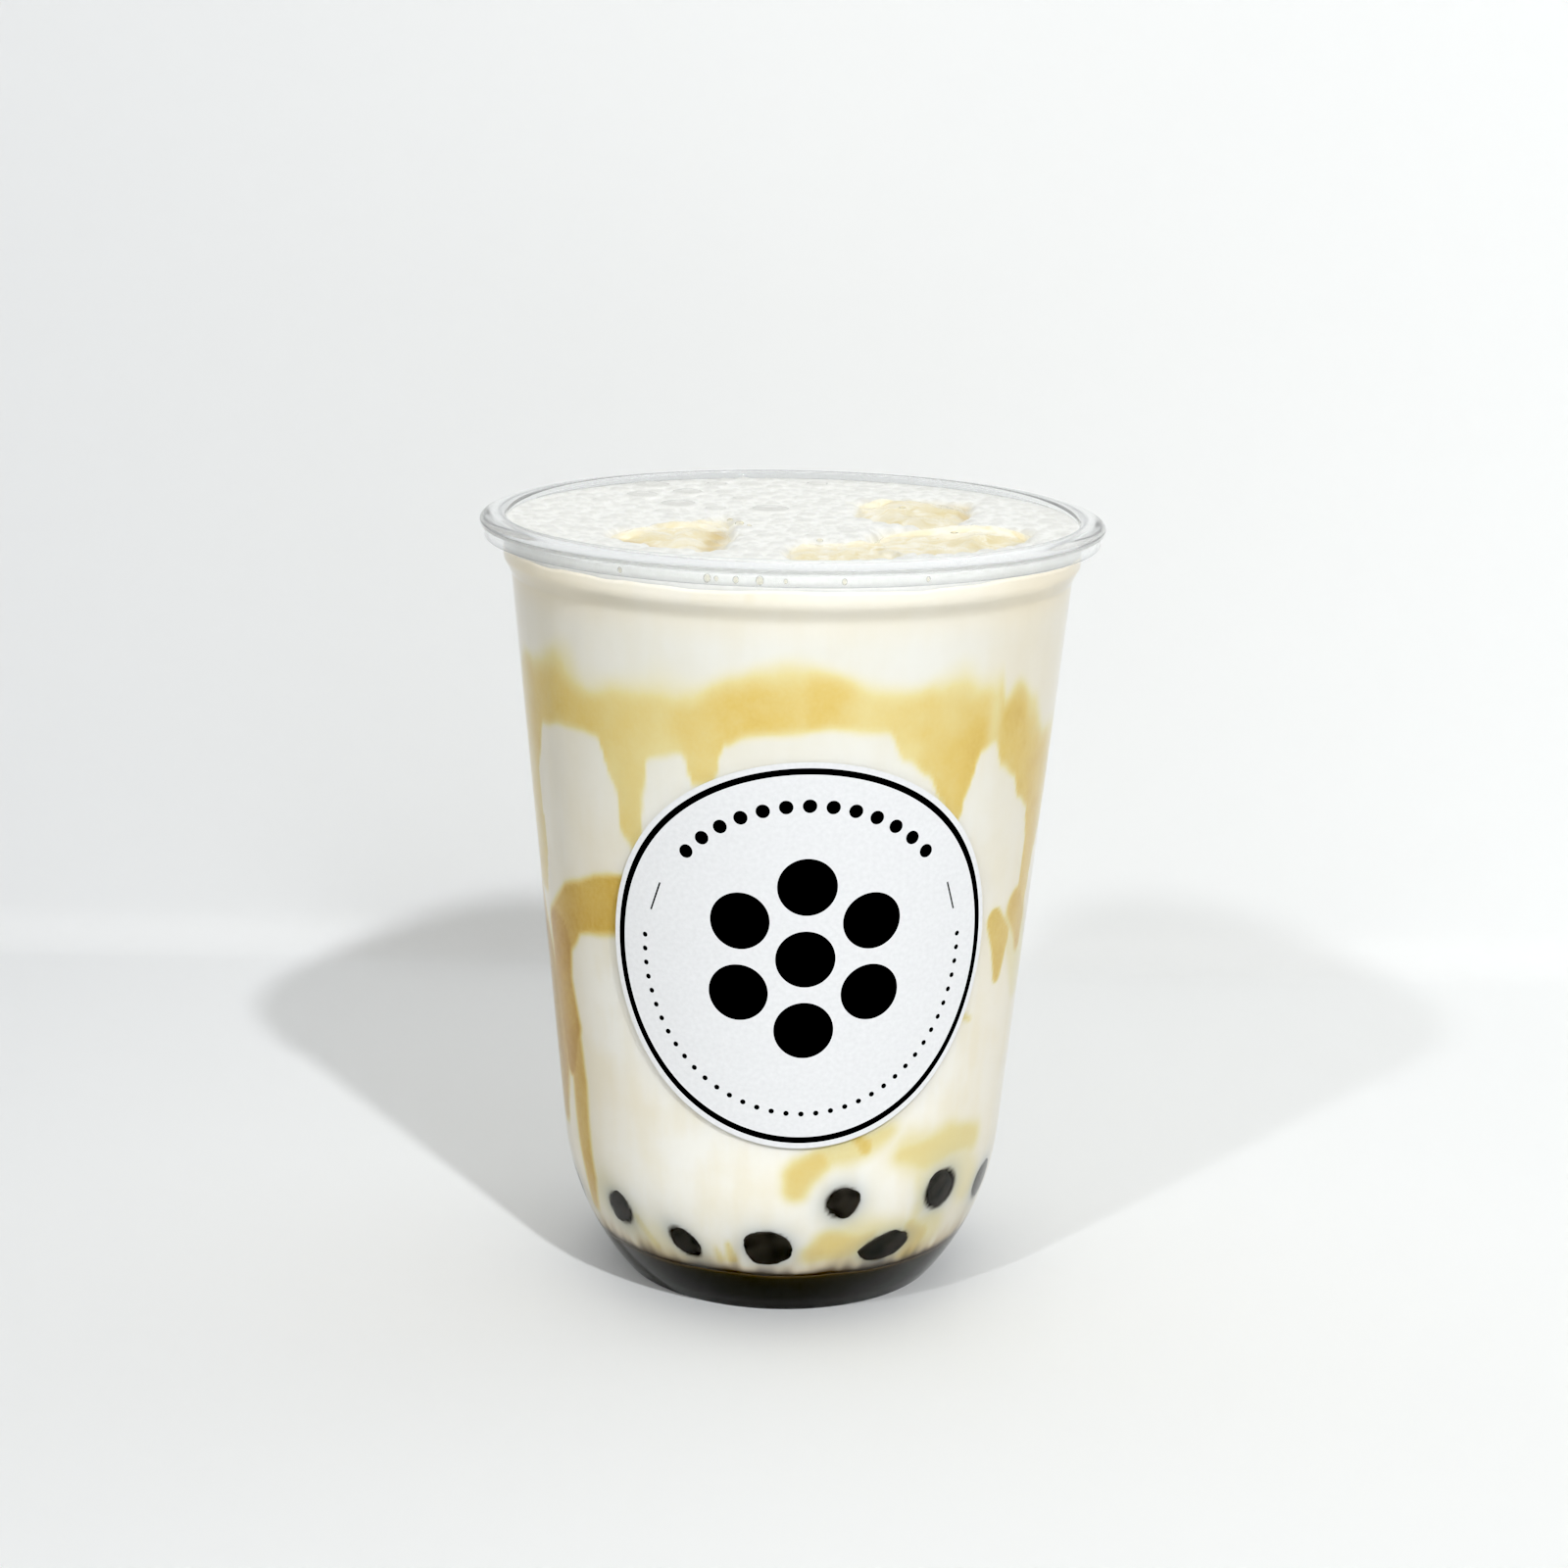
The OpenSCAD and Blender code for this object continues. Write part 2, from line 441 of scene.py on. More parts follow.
def clear_plastic():
    """Clear polypropylene with a faint flow ripple and painted grey shade along its thick edges."""
    material, tree, out = new_material("clear_polypropylene")
    where = add(tree, "ShaderNodeTexCoord").outputs["Object"]
    ripple = add(
        tree, "ShaderNodeTexNoise",
        Vector=where, Scale=1 / (RIPPLE_LENGTH * MM), Detail=1.0,
    ).outputs["Fac"]
    bump = add(tree, "ShaderNodeBump", Height=ripple, Strength=0.02, Distance=0.4 * MM)
    painted_dark_edge = add(tree, "ShaderNodeAttribute", {"attribute_name": "painted_dark_edge"}).outputs["Fac"]
    # painted shade: the grey lines along the thick edges are painted into the plastic's colour
    tint = add(
        tree, "ShaderNodeValToRGB", Fac=painted_dark_edge,
        stops=[(0.0, "#fafbfb"), (1.0, "#74767c")],
    ).outputs["Color"]
    plastic = add(
        tree, "ShaderNodeBsdfPrincipled",
        Base_Color=tint, Roughness=0.02, IOR=1.49,
        Transmission_Weight=1.0, Specular_Tint=linear("#a8a9ab"), Normal=bump.outputs["Normal"],
    )
    clear = add(tree, "ShaderNodeBsdfTransparent", Color=linear("#fdfdfe"))
    path = add(tree, "ShaderNodeLightPath")
    both = add(tree, "ShaderNodeMixShader", i0=path.outputs["Is Shadow Ray"],
               i1=plastic.outputs[0], i2=clear.outputs[0])
    tree.links.new(both.outputs[0], out.inputs["Surface"])
    return material


plastic = clear_plastic()
print(plastic.name, "has", len(plastic.node_tree.nodes), "nodes")

# %% Turn the cup
CUP_SIDES = 240
# in mm: the radius of the crest, the height of the hem, and a radius just inside of the hem
CREST_RADIUS = 44.4
HEM = 116.5
HEM_INSIDE = 45.7
supported = with_supports(cup_outline)
cup_radius = np.repeat(supported[:, :1], CUP_SIDES, axis=1)
cup_height = np.repeat(supported[:, 1:], CUP_SIDES, axis=1)
# painted shade on the crest, the lip and the hem, strongest on the crest
on_crest = np.exp(-((cup_radius - CREST_RADIUS) / 0.2) ** 2) * (cup_height > RIM_TOP - 0.3)
on_lip = np.exp(-((cup_radius - RIM_RADIUS) / 0.15) ** 2)
on_hem = np.exp(-((cup_height - HEM) / 0.2) ** 2) * (cup_radius > HEM_INSIDE)
cup_painted_dark_edge = {"painted_dark_edge": on_crest + 0.5 * on_lip + 0.4 * on_hem}
cup = turned("cup_wall", cup_radius, cup_height, plastic, cup_painted_dark_edge, crease=50)
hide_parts("cup")

# %% [markdown]
# ## The inside of the cup
#
# Syrup, milk tea and froth all lie against the wall. In a render the drink must leave no air gap
# there, because air between plastic and drink would mirror the room like a silver foil. So each
# layer reaches 0.25 mm into the wall.
#
# The wall's inner radius at a height comes from the drink's own CAD solids. The widest point at
# each height lies on the wall.


# %% Inner radius by height
def wall_table():
    """Heights and radii in mm of the drink's outside, from the foot to the surface."""
    widest = {}
    for node in ("syrup", "milk_tea", "froth"):
        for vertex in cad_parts[node].data.vertices:
            height = round(vertex.co.z / MM, 3)
            widest[height] = max(widest.get(height, 0), math.hypot(vertex.co.x, vertex.co.y) / MM)
    table = []
    for height in sorted(widest):
        if not table or widest[height] >= table[-1][1]:
            table.append((height, widest[height]))
    return np.array(table)


WALL = wall_table()
INTO_WALL = 0.25


def wall_radius(height):
    """Radius in mm of the wall's inside at each height."""
    return np.interp(height, WALL[:, 0], WALL[:, 1])


print("inner radius at 10, 60 and 110 mm:", wall_radius(np.array([10, 60, 110])).round(2))

# %% [markdown]
# ## Tapioca pearls
#
# Tapioca pearls are boiled starch balls, soft, nearly black and about 9 mm across. The few that
# show have drifted against the wall, where each is pressed flat. Milk tea hides the rest of it.
# What shows of a pearl is the patch where it comes through the milk, so each pearl is listed by
# that patch: its azimuth and height, half its width and height, and its tilt. Seven are in front
# and to the sides, and nine more go round the back.
#
# A pearl is a ball stretched a little further than its patch. How deep its middle lies follows
# from that: the deeper it is, the smaller the patch that reaches the wall.

# %% List the pearls
PEARLS = [
    # azimuth, height, half width, half height, tilt
    (-48, 15.2, 2.5, 2.3, -30),
    (-26.5, 12.5, 2.9, 1.4, -46),
    (-3, 13.2, 3.2, 2.6, -4),
    (16, 20.9, 2.4, 2.4, 10),
    (46.3, 19.9, 3.2, 3.0, 24),
    (30.5, 12.0, 3.8, 1.9, 9),
    (69, 17.2, 2.7, 2.7, 10),
    (95, 12.5, 3.6, 2.8, 0),
    (118, 21.0, 2.8, 3.0, 20),
    (141, 13.5, 3.8, 2.6, -15),
    (163, 19.5, 2.9, 2.5, 30),
    (184, 12.4, 3.5, 2.4, 5),
    (206, 16.0, 3.1, 3.3, -20),
    (233, 11.9, 3.9, 2.0, 8),
    (252, 20.5, 2.6, 2.4, 15),
    (281, 13.6, 3.3, 2.9, -25),
]
PEARL_SPARE = 0.9
PEARL_DEPTH = 4.0
PEARL_PRESS = 0.4


def pearl_sink(half_width):
    """How far inside the wall a pearl's middle lies, in mm."""
    share = half_width / (half_width + PEARL_SPARE)
    return PEARL_DEPTH * math.sqrt(1 - share * share)


def pearl_shadow(azimuth, height):
    """How much the pearls darken the milk at points on the wall, from 0 to 1."""
    shadow = np.zeros(azimuth.shape)
    far_inside = 50.0
    for turn, middle, half_width, half_height, tilt in PEARLS:
        across = np.radians((azimuth - turn + 180) % 360 - 180) * wall_radius(middle)
        up = height - middle
        cos, sin = math.cos(math.radians(tilt)), math.sin(math.radians(tilt))
        along = (across * cos + up * sin) / (half_width + PEARL_SPARE)
        over = (up * cos - across * sin) / (half_height + PEARL_SPARE)
        rest = 1 - along**2 - over**2
        reach = PEARL_DEPTH * np.sqrt(np.clip(rest, 0, None))
        cover = np.where(rest > 0, pearl_sink(half_width) - reach, far_inside)
        size = (half_width + half_height) / 2 + PEARL_SPARE
        beside = np.clip(np.sqrt(1 - rest) - 0.75, 0, None) * size
        near = np.exp(-np.clip(cover, 0, None) / 0.9)
        shadow = np.maximum(shadow, np.maximum(near, 0.6 * np.exp(-beside / 1.6)))
    return shadow


print(len(PEARLS), "pearls, the first sunk by", round(pearl_sink(PEARLS[0][2]), 2), "mm")

# %% [markdown]
# ## Syrup on the wall
#
# Before the milk goes in, syrup is spooned round the inside of the cup, and the milk then pushes
# it into bands and drips. They are thin and half dissolved, so they look pale gold, with a soft
# upper edge and a crisper lower one.
#
# The broad band is drawn as two lines round the cup: where it fades out above, and where it ends
# below, each as pairs of an azimuth and a height. Between two pairs the line eases up or down,
# which gives the round lobes of milk and the drips between them. A third list says how strong the
# band is. Smaller smears are strokes of a brush whose size changes on the way.

# %% Draw the band of syrup
BAND_TOP = [
    (-170, 99), (-150, 96), (-128, 103), (-104, 98), (-84, 99), (-70, 103), (-58, 105), (-46, 103.5),
    (-34, 104), (-22, 104), (-12, 105.5), (4, 106), (16, 104.5), (24, 104.5), (36, 105.5), (44, 103.5),
    (47.5, 104.5), (50, 100), (53, 101), (61, 97), (70, 93), (84, 92), (104, 98), (130, 102), (158, 97),
]
BAND_FOOT = [
    (-172, 91), (-158, 92), (-151, 81), (-147, 82), (-141, 92), (-122, 94), (-110, 92), (-106, 76),
    (-103, 76), (-98, 92), (-86, 92), (-80.5, 63), (-71.5, 62), (-68.5, 84), (-63, 90.5), (-54, 92),
    (-44, 91), (-39, 84), (-37.5, 76), (-34, 74), (-32, 83), (-29, 89), (-22, 89.5), (-20, 86),
    (-16, 86.5), (-13.5, 92), (-9, 93.5), (2, 94.5), (20, 94.5), (25, 90), (30, 87), (34, 83), (36.5, 78),
    (39, 78), (42, 85), (45, 90), (49, 90.5), (51.5, 87), (56, 85.5), (59, 81), (63.5, 79), (65.5, 74),
    (67.5, 61), (73, 59), (77, 70), (84, 84), (96, 91), (112, 92), (117, 78), (120, 78), (126, 91),
    (144, 93), (158, 84), (162, 84), (172, 91),
]
BAND_STRENGTH = [
    (-120, 0.9), (-90, 0.8), (-62, 1.0), (-48, 0.85), (-38, 0.66), (-27, 0.6), (-20, 0.8), (-10, 0.95),
    (8, 0.95), (17, 0.6), (23, 0.7), (32, 0.85), (43, 1.0), (47, 0.5), (51, 1.05), (66, 1.1), (90, 0.9),
]


def round_the_cup(line, azimuth):
    """Value of a listed line at each azimuth, easing from one listed place to the next."""
    places = np.array(line)
    places = np.concatenate([places[-1:] - [360, 0], places, places[:1] + [360, 0]])
    turn = (azimuth + 180) % 360 - 180
    turn = np.where(turn < places[0, 0], turn + 360, turn)
    after = np.clip(np.searchsorted(places[:, 0], turn, side="right"), 1, len(places) - 1)
    start, end = places[after - 1], places[after]
    part = eased(turn, start[..., 0], end[..., 0])
    return start[..., 1] + (end[..., 1] - start[..., 1]) * part


front = np.array([0.0])
print("band at the front:", round_the_cup(BAND_FOOT, front), "to", round_the_cup(BAND_TOP, front))

# %% Draw the smears of syrup
SMEARS = [
    # strength, edge in mm, then (azimuth, height, half width in mm) along the stroke
    (0.85, 1.6, [(-36, 66, 4.4), (-48, 64.5, 4.0), (-58, 62.5, 3.6), (-66, 57, 4.2)]),
    (0.95, 1.6, [(-66, 57, 4.2), (-67, 50, 3.8), (-65, 43, 4.0), (-66, 36, 2.0)]),
    (0.84, 1.6, [(-63, 44, 2.2), (-62, 34, 2.6), (-61, 26, 2.4), (-61, 19, 2.0), (-63, 13, 1.3)]),
    (0.88, 2.2, [(-83, 60, 4.0), (-79, 48, 6.0), (-77, 36, 5.5), (-76, 27, 3.0)]),
    (0.75, 0.8, [(56, 62, 2.2), (60, 58, 3.0), (60, 52, 1.3)]),
    (0.8, 1.6, [(66, 63, 3.0), (70, 60, 3.2), (71, 56, 1.6)]),
    (0.3, 2.0, [(70, 58, 5.0), (76, 50, 4.0)]),
    (0.5, 1.0, [(47, 47.5, 0.8), (50, 47, 0.5)]),
    (0.62, 3.0, [(9, 27.5, 2.0), (5, 26, 2.6), (4, 23.6, 2.0)]),
    (0.42, 3.6, [(9, 28, 2.2), (16, 29.5, 2.4), (27, 32, 1.8)]),
    (0.7, 1.6, [(18, 32, 0.9), (21, 30.5, 1.4)]),
    (0.46, 4.0, [(32, 27.5, 2.0), (40, 26.5, 3.2), (48, 27.5, 3.4), (57, 26, 2.8)]),
    (0.3, 2.4, [(38, 24, 1.6), (40, 20, 1.8), (38, 17, 1.4)]),
    (0.6, 3.6, [(9, 12, 1.8), (14, 13.6, 3.0), (20, 13.6, 2.4), (25, 15, 1.2)]),
    (0.62, 3.0, [(37, 15.5, 1.4), (41, 12.5, 2.4), (40, 10, 2.0)]),
    (0.4, 1.0, [(-42, 14.5, 1.0), (-39, 12, 0.9), (-37, 10.5, 0.8)]),
    (0.34, 4.0, [(20, 14, 4.0), (31, 13, 4.5), (44, 13, 4.0)]),
    (0.3, 4.0, [(34, 28, 3.6), (48, 24, 4.6), (58, 19, 4.0)]),
    (0.22, 5.0, [(-55, 17, 4.0), (-40, 12, 3.5), (-24, 10, 3.0)]),
    (0.5, 0.8, [(-13.5, 13.5, 0.4), (-12.5, 10.5, 0.9)]),
    (0.4, 0.8, [(-17, 12.5, 0.3), (-16, 10.5, 0.8)]),
    (0.85, 1.6, [(130, 66, 3.6), (144, 63, 4.0), (154, 57, 3.4), (153, 48, 2.6)]),
    (0.7, 1.4, [(-140, 68, 3.2), (-126, 64, 3.8), (-116, 57, 3.2), (-117, 46, 2.0)]),
    (0.9, 1.6, [(-100, 58, 3.0), (-97, 44, 3.6), (-99, 30, 2.4), (-98, 20, 1.6)]),
    (0.55, 1.6, [(98, 30, 2.6), (112, 28, 2.8), (126, 29, 1.6)]),
    (0.5, 1.6, [(170, 28, 2.0), (184, 26, 3.0), (198, 28, 1.6)]),
    (0.6, 1.4, [(104, 54, 1.8), (107, 44, 2.4), (106, 37, 1.4)]),
    (0.55, 1.4, [(-160, 34, 1.4), (-158, 27, 2.2), (-161, 19, 1.8)]),
]


print(len(SMEARS), "smears of syrup")

# %% Lay the syrup on the wall
BAND_FADE = 6.5
STRONGEST = 0.86


def stroke_strength(azimuth, height, strength, edge, path):
    """How strongly one brush stroke covers each point, from 0 to its strength."""
    closest = np.full(azimuth.shape, np.inf)
    for (turn_a, up_a, wide_a), (turn_b, up_b, wide_b) in zip(path[:-1], path[1:]):
        reach = float(wall_radius((up_a + up_b) / 2))
        x = np.radians((azimuth - turn_a + 180) % 360 - 180) * reach
        y = height - up_a
        dx = math.radians(turn_b - turn_a) * reach
        dy = up_b - up_a
        part = np.clip((x * dx + y * dy) / (dx * dx + dy * dy), 0, 1)
        away = np.hypot(x - part * dx, y - part * dy) - (wide_a + (wide_b - wide_a) * part)
        closest = np.minimum(closest, away)
    return strength * eased(-closest, -edge / 2, edge / 2)


def syrup_strength(azimuth, height):
    """Amount of syrup on the wall at each point, from 0 to 1: rougher behind than in front."""
    points = place(wall_radius(height), azimuth, height)
    wobble = 1.0 * noise(points, 6.5) + 0.22 * noise(points, 2.1, 7.3)
    drift = 1.8 * noise(points, 9.0, 3.1)
    behind = eased(abs((azimuth + 180) % 360 - 180), 85, 110)
    wobble = wobble + behind * (2.2 * noise(points, 8.0, 6.6) + 0.6 * noise(points, 3.0, 3.9))
    drift = drift * (1 + 1.5 * behind)
    turn = azimuth + 0.8 * drift
    up = height + wobble
    foot = round_the_cup(BAND_FOOT, turn)
    top = round_the_cup(BAND_TOP, azimuth) + 1.5 * drift
    band = eased(up, foot - 0.9, foot + 1.3) * eased(-up, -top, BAND_FADE - top)
    streaks = points * [1.0, 1.0, 0.12]
    clouds = 0.2 * noise(points, 6.0, 9.0) + 0.12 * noise(points, 2.2, 1.3)
    grain = 1 + 0.07 * noise(streaks, 1.8, 5.0) + clouds
    total = band * 0.95 * round_the_cup(BAND_STRENGTH, azimuth) * grain
    total = STRONGEST * np.tanh(total / STRONGEST)
    for strength, edge, path in SMEARS:
        smear = stroke_strength(azimuth + 0.5 * drift, up, strength, edge, path)
        total = np.maximum(total, smear * (0.7 + 0.3 * grain))
    return np.clip(total, 0, 1)


print("syrup at the front, 98 mm up:", syrup_strength(front, front + 98).round(2))

# %% [markdown]
# ## Milk tea
#
# Fresh milk is white because it is full of fat drops that scatter light. With some tea and a
# little brown sugar in it, it is a warm cream white. Against the wall there is no air, so it has
# hardly any gloss of its own: the gloss belongs to the plastic in front of it.
#
# Four facts are stored on the mesh and read by the material: how much syrup lies on the wall, how much a
# pearl behind the milk darkens it, how much dark syrup has been stirred up just above the floor, and how much
# painted shade there is: a warmer, darker tone painted towards the cup's sides, away from the front, and just
# under the rim. The mesh has a point about every 0.6 mm, and finer noise is added in the material: clouds 9
# mm long, upright trails 3 mm wide and a grain of 0.7 mm.


# %% Make the milk tea's material
def milk_material():
    """Cream-white milk tea with gold syrup, grey pearl shadows, brown stain near the floor and painted warm
    shade at the sides.
    """
    material, tree, out = new_material("fresh_milk_tea")
    where = add(tree, "ShaderNodeTexCoord").outputs["Object"]
    syrup, shade, stain, tea = (
        add(tree, "ShaderNodeAttribute", {"attribute_name": name}).outputs["Fac"]
        for name in ("syrup", "pearl_shade", "stain", "tea")
    )
    tall = add(tree, "ShaderNodeMapping", i0=where, Scale=(1, 1, 0.12)).outputs[0]
    cloud, fine, trail = (
        add(tree, "ShaderNodeTexNoise", Vector=vector, Scale=1 / (size * MM), Detail=detail).outputs["Fac"]
        for vector, size, detail in ((where, 9, 3.0), (where, 0.7, 2.0), (tall, 3, 2.0))
    )
    # the syrup is grainy: up to 8 % more or less of it from grain to grain
    jitter = add(
        tree, "ShaderNodeMath", {"operation": "MULTIPLY_ADD"}, i0=fine, i1=0.16, i2=-0.08,
    ).outputs[0]
    weight = add(tree, "ShaderNodeMath", {"operation": "MULTIPLY"}, i0=jitter, i1=syrup).outputs[0]
    grainy = add(
        tree, "ShaderNodeMath", {"operation": "ADD", "use_clamp": True}, i0=syrup, i1=weight,
    ).outputs[0]
    blend = add(tree, "ShaderNodeMix", i0=0.4, i2=cloud, i3=trail).outputs[0]
    pale = add(
        tree, "ShaderNodeValToRGB", Fac=blend,
        stops=[(0.38, "#faf5e6"), (0.6, "#fefcf5")],
    ).outputs["Color"]
    # higher up, the milk tea is mixed towards a cooler, slightly darker grey
    up = add(tree, "ShaderNodeSeparateXYZ", i0=where).outputs["Z"]
    high = add(tree, "ShaderNodeMapRange", i0=up, i1=50 * MM, i2=95 * MM, i4=0.6).outputs[0]
    gold = add(
        tree, "ShaderNodeValToRGB", Fac=grainy,
        stops=[(0.0, "#f6f0d2"), (0.4, "#f1e6b2"), (0.7, "#ead284"), (0.88, "#dcb95c"), (1.0, "#cda03c")],
    ).outputs["Color"]
    cover = add(tree, "ShaderNodeMapRange", i0=grainy, i1=0.0, i2=0.42).outputs[0]
    brown = add(
        tree, "ShaderNodeValToRGB", Fac=stain,
        stops=[(0.0, "#efe3b8"), (0.35, "#c4a768"), (0.65, "#6b5228"), (1.0, "#2b231a")],
    ).outputs["Color"]
    soak = add(tree, "ShaderNodeMapRange", i0=stain, i1=0.0, i2=0.8).outputs[0]
    grey = add(
        tree, "ShaderNodeValToRGB", Fac=shade,
        stops=[(0.0, "#c6d1da"), (0.4, "#a3afb8"), (0.65, "#5f6264"), (1.0, "#211c19")],
    ).outputs["Color"]
    colour = pale
    # the warm tone mixed in second is painted shade: warmer and darker towards the cup's sides and just under
    # the rim
    for share, over in (
        (high, linear("#ecebe4")), (tea, linear("#f8edd4")), (cover, gold), (soak, brown), (shade, grey),
    ):
        colour = add(
            tree, "ShaderNodeMix", {"data_type": "RGBA"}, i0=share, i6=colour, i7=over,
        ).outputs[2]
    skin = add(
        tree, "ShaderNodeBsdfPrincipled",
        Base_Color=colour, Roughness=0.55, IOR=1.35, Specular_IOR_Level=0.1,
    )
    tree.links.new(skin.outputs[0], out.inputs["Surface"])
    return material


fresh_milk_tea = milk_material()
print(fresh_milk_tea.name, "has", len(fresh_milk_tea.node_tree.nodes), "nodes")

# %% Fill in the milk tea
COLUMNS = 420
STEP = 0.6


def layer_line(base, wave, azimuth, shift):
    """A wavy border round the cup between two layers, in mm."""
    points = place(40.0, azimuth, 0.0)
    return base + wave * (0.6 * noise(points, 14.0, shift) + 0.4 * noise(points, 4.0, shift + 5))


azimuths = np.arange(COLUMNS) * 360 / COLUMNS
syrup_line = layer_line(SYRUP_TOP + 0.8, 0.35, azimuths, 2.0)
froth_line = layer_line(MILK_TOP, 0.5, azimuths, 8.0)


def make_milk():
    """The milk tea, from the syrup to the froth."""
    rings = int((MILK_TOP - SYRUP_TOP) / STEP)
    share = np.linspace(0, 1, rings)[:, None]
    height = syrup_line + share * (froth_line - syrup_line)
    azimuth = np.broadcast_to(azimuths, height.shape)
    radius = wall_radius(height) + INTO_WALL
    points = place(radius, azimuth, height)
    fingers = noise(points * [1.0, 1.0, 0.25], 1.3, 4.0) + 0.6 * noise(points, 4.5, 1.0)
    stain = np.exp(-(height - syrup_line) / (2.0 + 1.15 * np.clip(fingers, -1, 2)))
    # painted shade: a warmer, darker tone towards the sides, away from the front, and just under the rim
    around = abs((azimuth + 180) % 360 - 180)
    tea = 0.5 * eased(around + 12 * noise(points, 12.0, 2.2), 22, 75)
    tea = np.clip(tea + 0.35 * eased(height, 106, 112), 0, 1)
    facts = {
        "syrup": syrup_strength(azimuth, height),
        "pearl_shade": pearl_shadow(azimuth, height),
        "stain": stain,
        "tea": tea,
    }
    # the lower end closes flat, and the upper one dips, out of the way of the hollows in the froth
    low = [(radius[0] * part, height[0]) for part in (0.15, 0.5)]
    high = [
        (radius[-1] - 1.2, height[-1]),
        (radius[-1] - 2.5, height[-1] - 12),
        (radius[-1] * 0.4, height[-1] - 15),
    ]
    radius = np.concatenate([[r for r, _ in low], radius, [r for r, _ in high]])
    height = np.concatenate([[h for _, h in low], height, [h for _, h in high]])
    for key, table in facts.items():
        ends = np.repeat(table[:1], len(low), 0), np.repeat(table[-1:], len(high), 0)
        facts[key] = np.concatenate([ends[0], table, ends[1]])
    return turned("milk_tea_body", radius, height, fresh_milk_tea, facts)


milk = make_milk()
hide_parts("milk_tea")

# %% [markdown]
# ## Dark syrup
#
# What was not stirred in lies on the floor of the cup: brown-sugar syrup, cooked until it is
# nearly black. It is clear rather than opaque, so a thin edge of it looks brown, but 7 mm of it
# lets nothing through.


# %% Pour the dark syrup
def syrup_material():
    """Brown-sugar syrup: near black, browner towards its upper edge."""
    material, tree, out = new_material("brown_sugar_syrup")
    edge = add(tree, "ShaderNodeAttribute", {"attribute_name": "edge"}).outputs["Fac"]
    where = add(tree, "ShaderNodeTexCoord").outputs["Object"]
    cloud = add(tree, "ShaderNodeTexNoise", Vector=where, Scale=1 / (5 * MM), Detail=2.0)
    mixed = add(
        tree, "ShaderNodeMath", {"operation": "MULTIPLY_ADD"},
        i0=cloud.outputs["Fac"], i1=0.25, i2=edge,
    )
    colour = add(
        tree, "ShaderNodeValToRGB", Fac=mixed.outputs[0],
        stops=[(0.1, "#32302b"), (0.6, "#3a342a"), (1.0, "#54452b")],
    ).outputs["Color"]
    skin = add(
        tree, "ShaderNodeBsdfPrincipled",
        Base_Color=colour, Roughness=0.3, IOR=1.48, Specular_IOR_Level=0.05,
    )
    tree.links.new(skin.outputs[0], out.inputs["Surface"])
    return material


def make_syrup():
    """The dark syrup, from the floor of the cup to the milk tea."""
    floor = WALL[0, 0]
    corner = WALL[0, 1]
    inner = seam_outline("syrup")
    bottom = inner[(inner[:, 0] < corner - 0.01) & (inner[:, 1] < SYRUP_TOP - 1)]
    bottom = bottom[np.argsort(bottom[:, 0])] - [0, INTO_WALL]
    rings = 16
    share = np.linspace(0, 1, rings)[:, None]
    height = floor + share * (syrup_line + 0.05 - floor)
    radius = wall_radius(height) + INTO_WALL
    height[0] -= INTO_WALL
    low_radius = np.repeat(bottom[:, :1], COLUMNS, axis=1)
    low_height = np.repeat(bottom[:, 1:], COLUMNS, axis=1)
    lid = [radius[-1] * 0.6]
    radius = np.concatenate([low_radius, radius, lid])
    height = np.concatenate([low_height, height, [height[-1]]])
    edge = np.exp(-np.clip(syrup_line - height, 0, None) / 0.8)
    return turned("dark_syrup", radius, height, syrup_material(), {"edge": edge})


dark_syrup = make_syrup()
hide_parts("syrup")


# %% [markdown]
# ## Shape the pearls
#
# Each pearl is a subdivided ball. Its points are pulled in and out by a little noise, because
# boiled starch is never perfectly round, and then it is pressed: no point may lie further out
# than 0.4 mm into the plastic, so the flattened side follows the wall.


# %% Make the pearls
def tapioca():
    """Boiled tapioca: near-black brown, wet, with a soft gloss."""
    material, tree, out = new_material("tapioca")
    where = add(tree, "ShaderNodeTexCoord").outputs["Object"]
    mottle = add(tree, "ShaderNodeTexNoise", Vector=where, Scale=1 / (2.2 * MM), Detail=3.0)
    colour = add(
        tree, "ShaderNodeValToRGB", Fac=mottle.outputs["Fac"],
        stops=[(0.3, "#1f1e1c"), (0.7, "#3d3833")],
    ).outputs["Color"]
    skin = add(
        tree, "ShaderNodeBsdfPrincipled",
        Base_Color=colour, Roughness=0.35, IOR=1.42, Specular_IOR_Level=0.25,
    )
    tree.links.new(skin.outputs[0], out.inputs["Surface"])
    return material


def ball(level_of_detail=4):
    """Points and faces of a ball of radius 1 with even triangles."""
    mesh = bpy.data.meshes.new("ball")
    shape = bmesh.new()
    bmesh.ops.create_icosphere(shape, subdivisions=level_of_detail, radius=1.0)
    shape.to_mesh(mesh)
    shape.free()
    points = np.array([vertex.co[:] for vertex in mesh.vertices])
    faces = np.array([face.vertices[:] for face in mesh.polygons])
    bpy.data.meshes.remove(mesh)
    return points, faces


BALL_POINTS, BALL_FACES = ball()


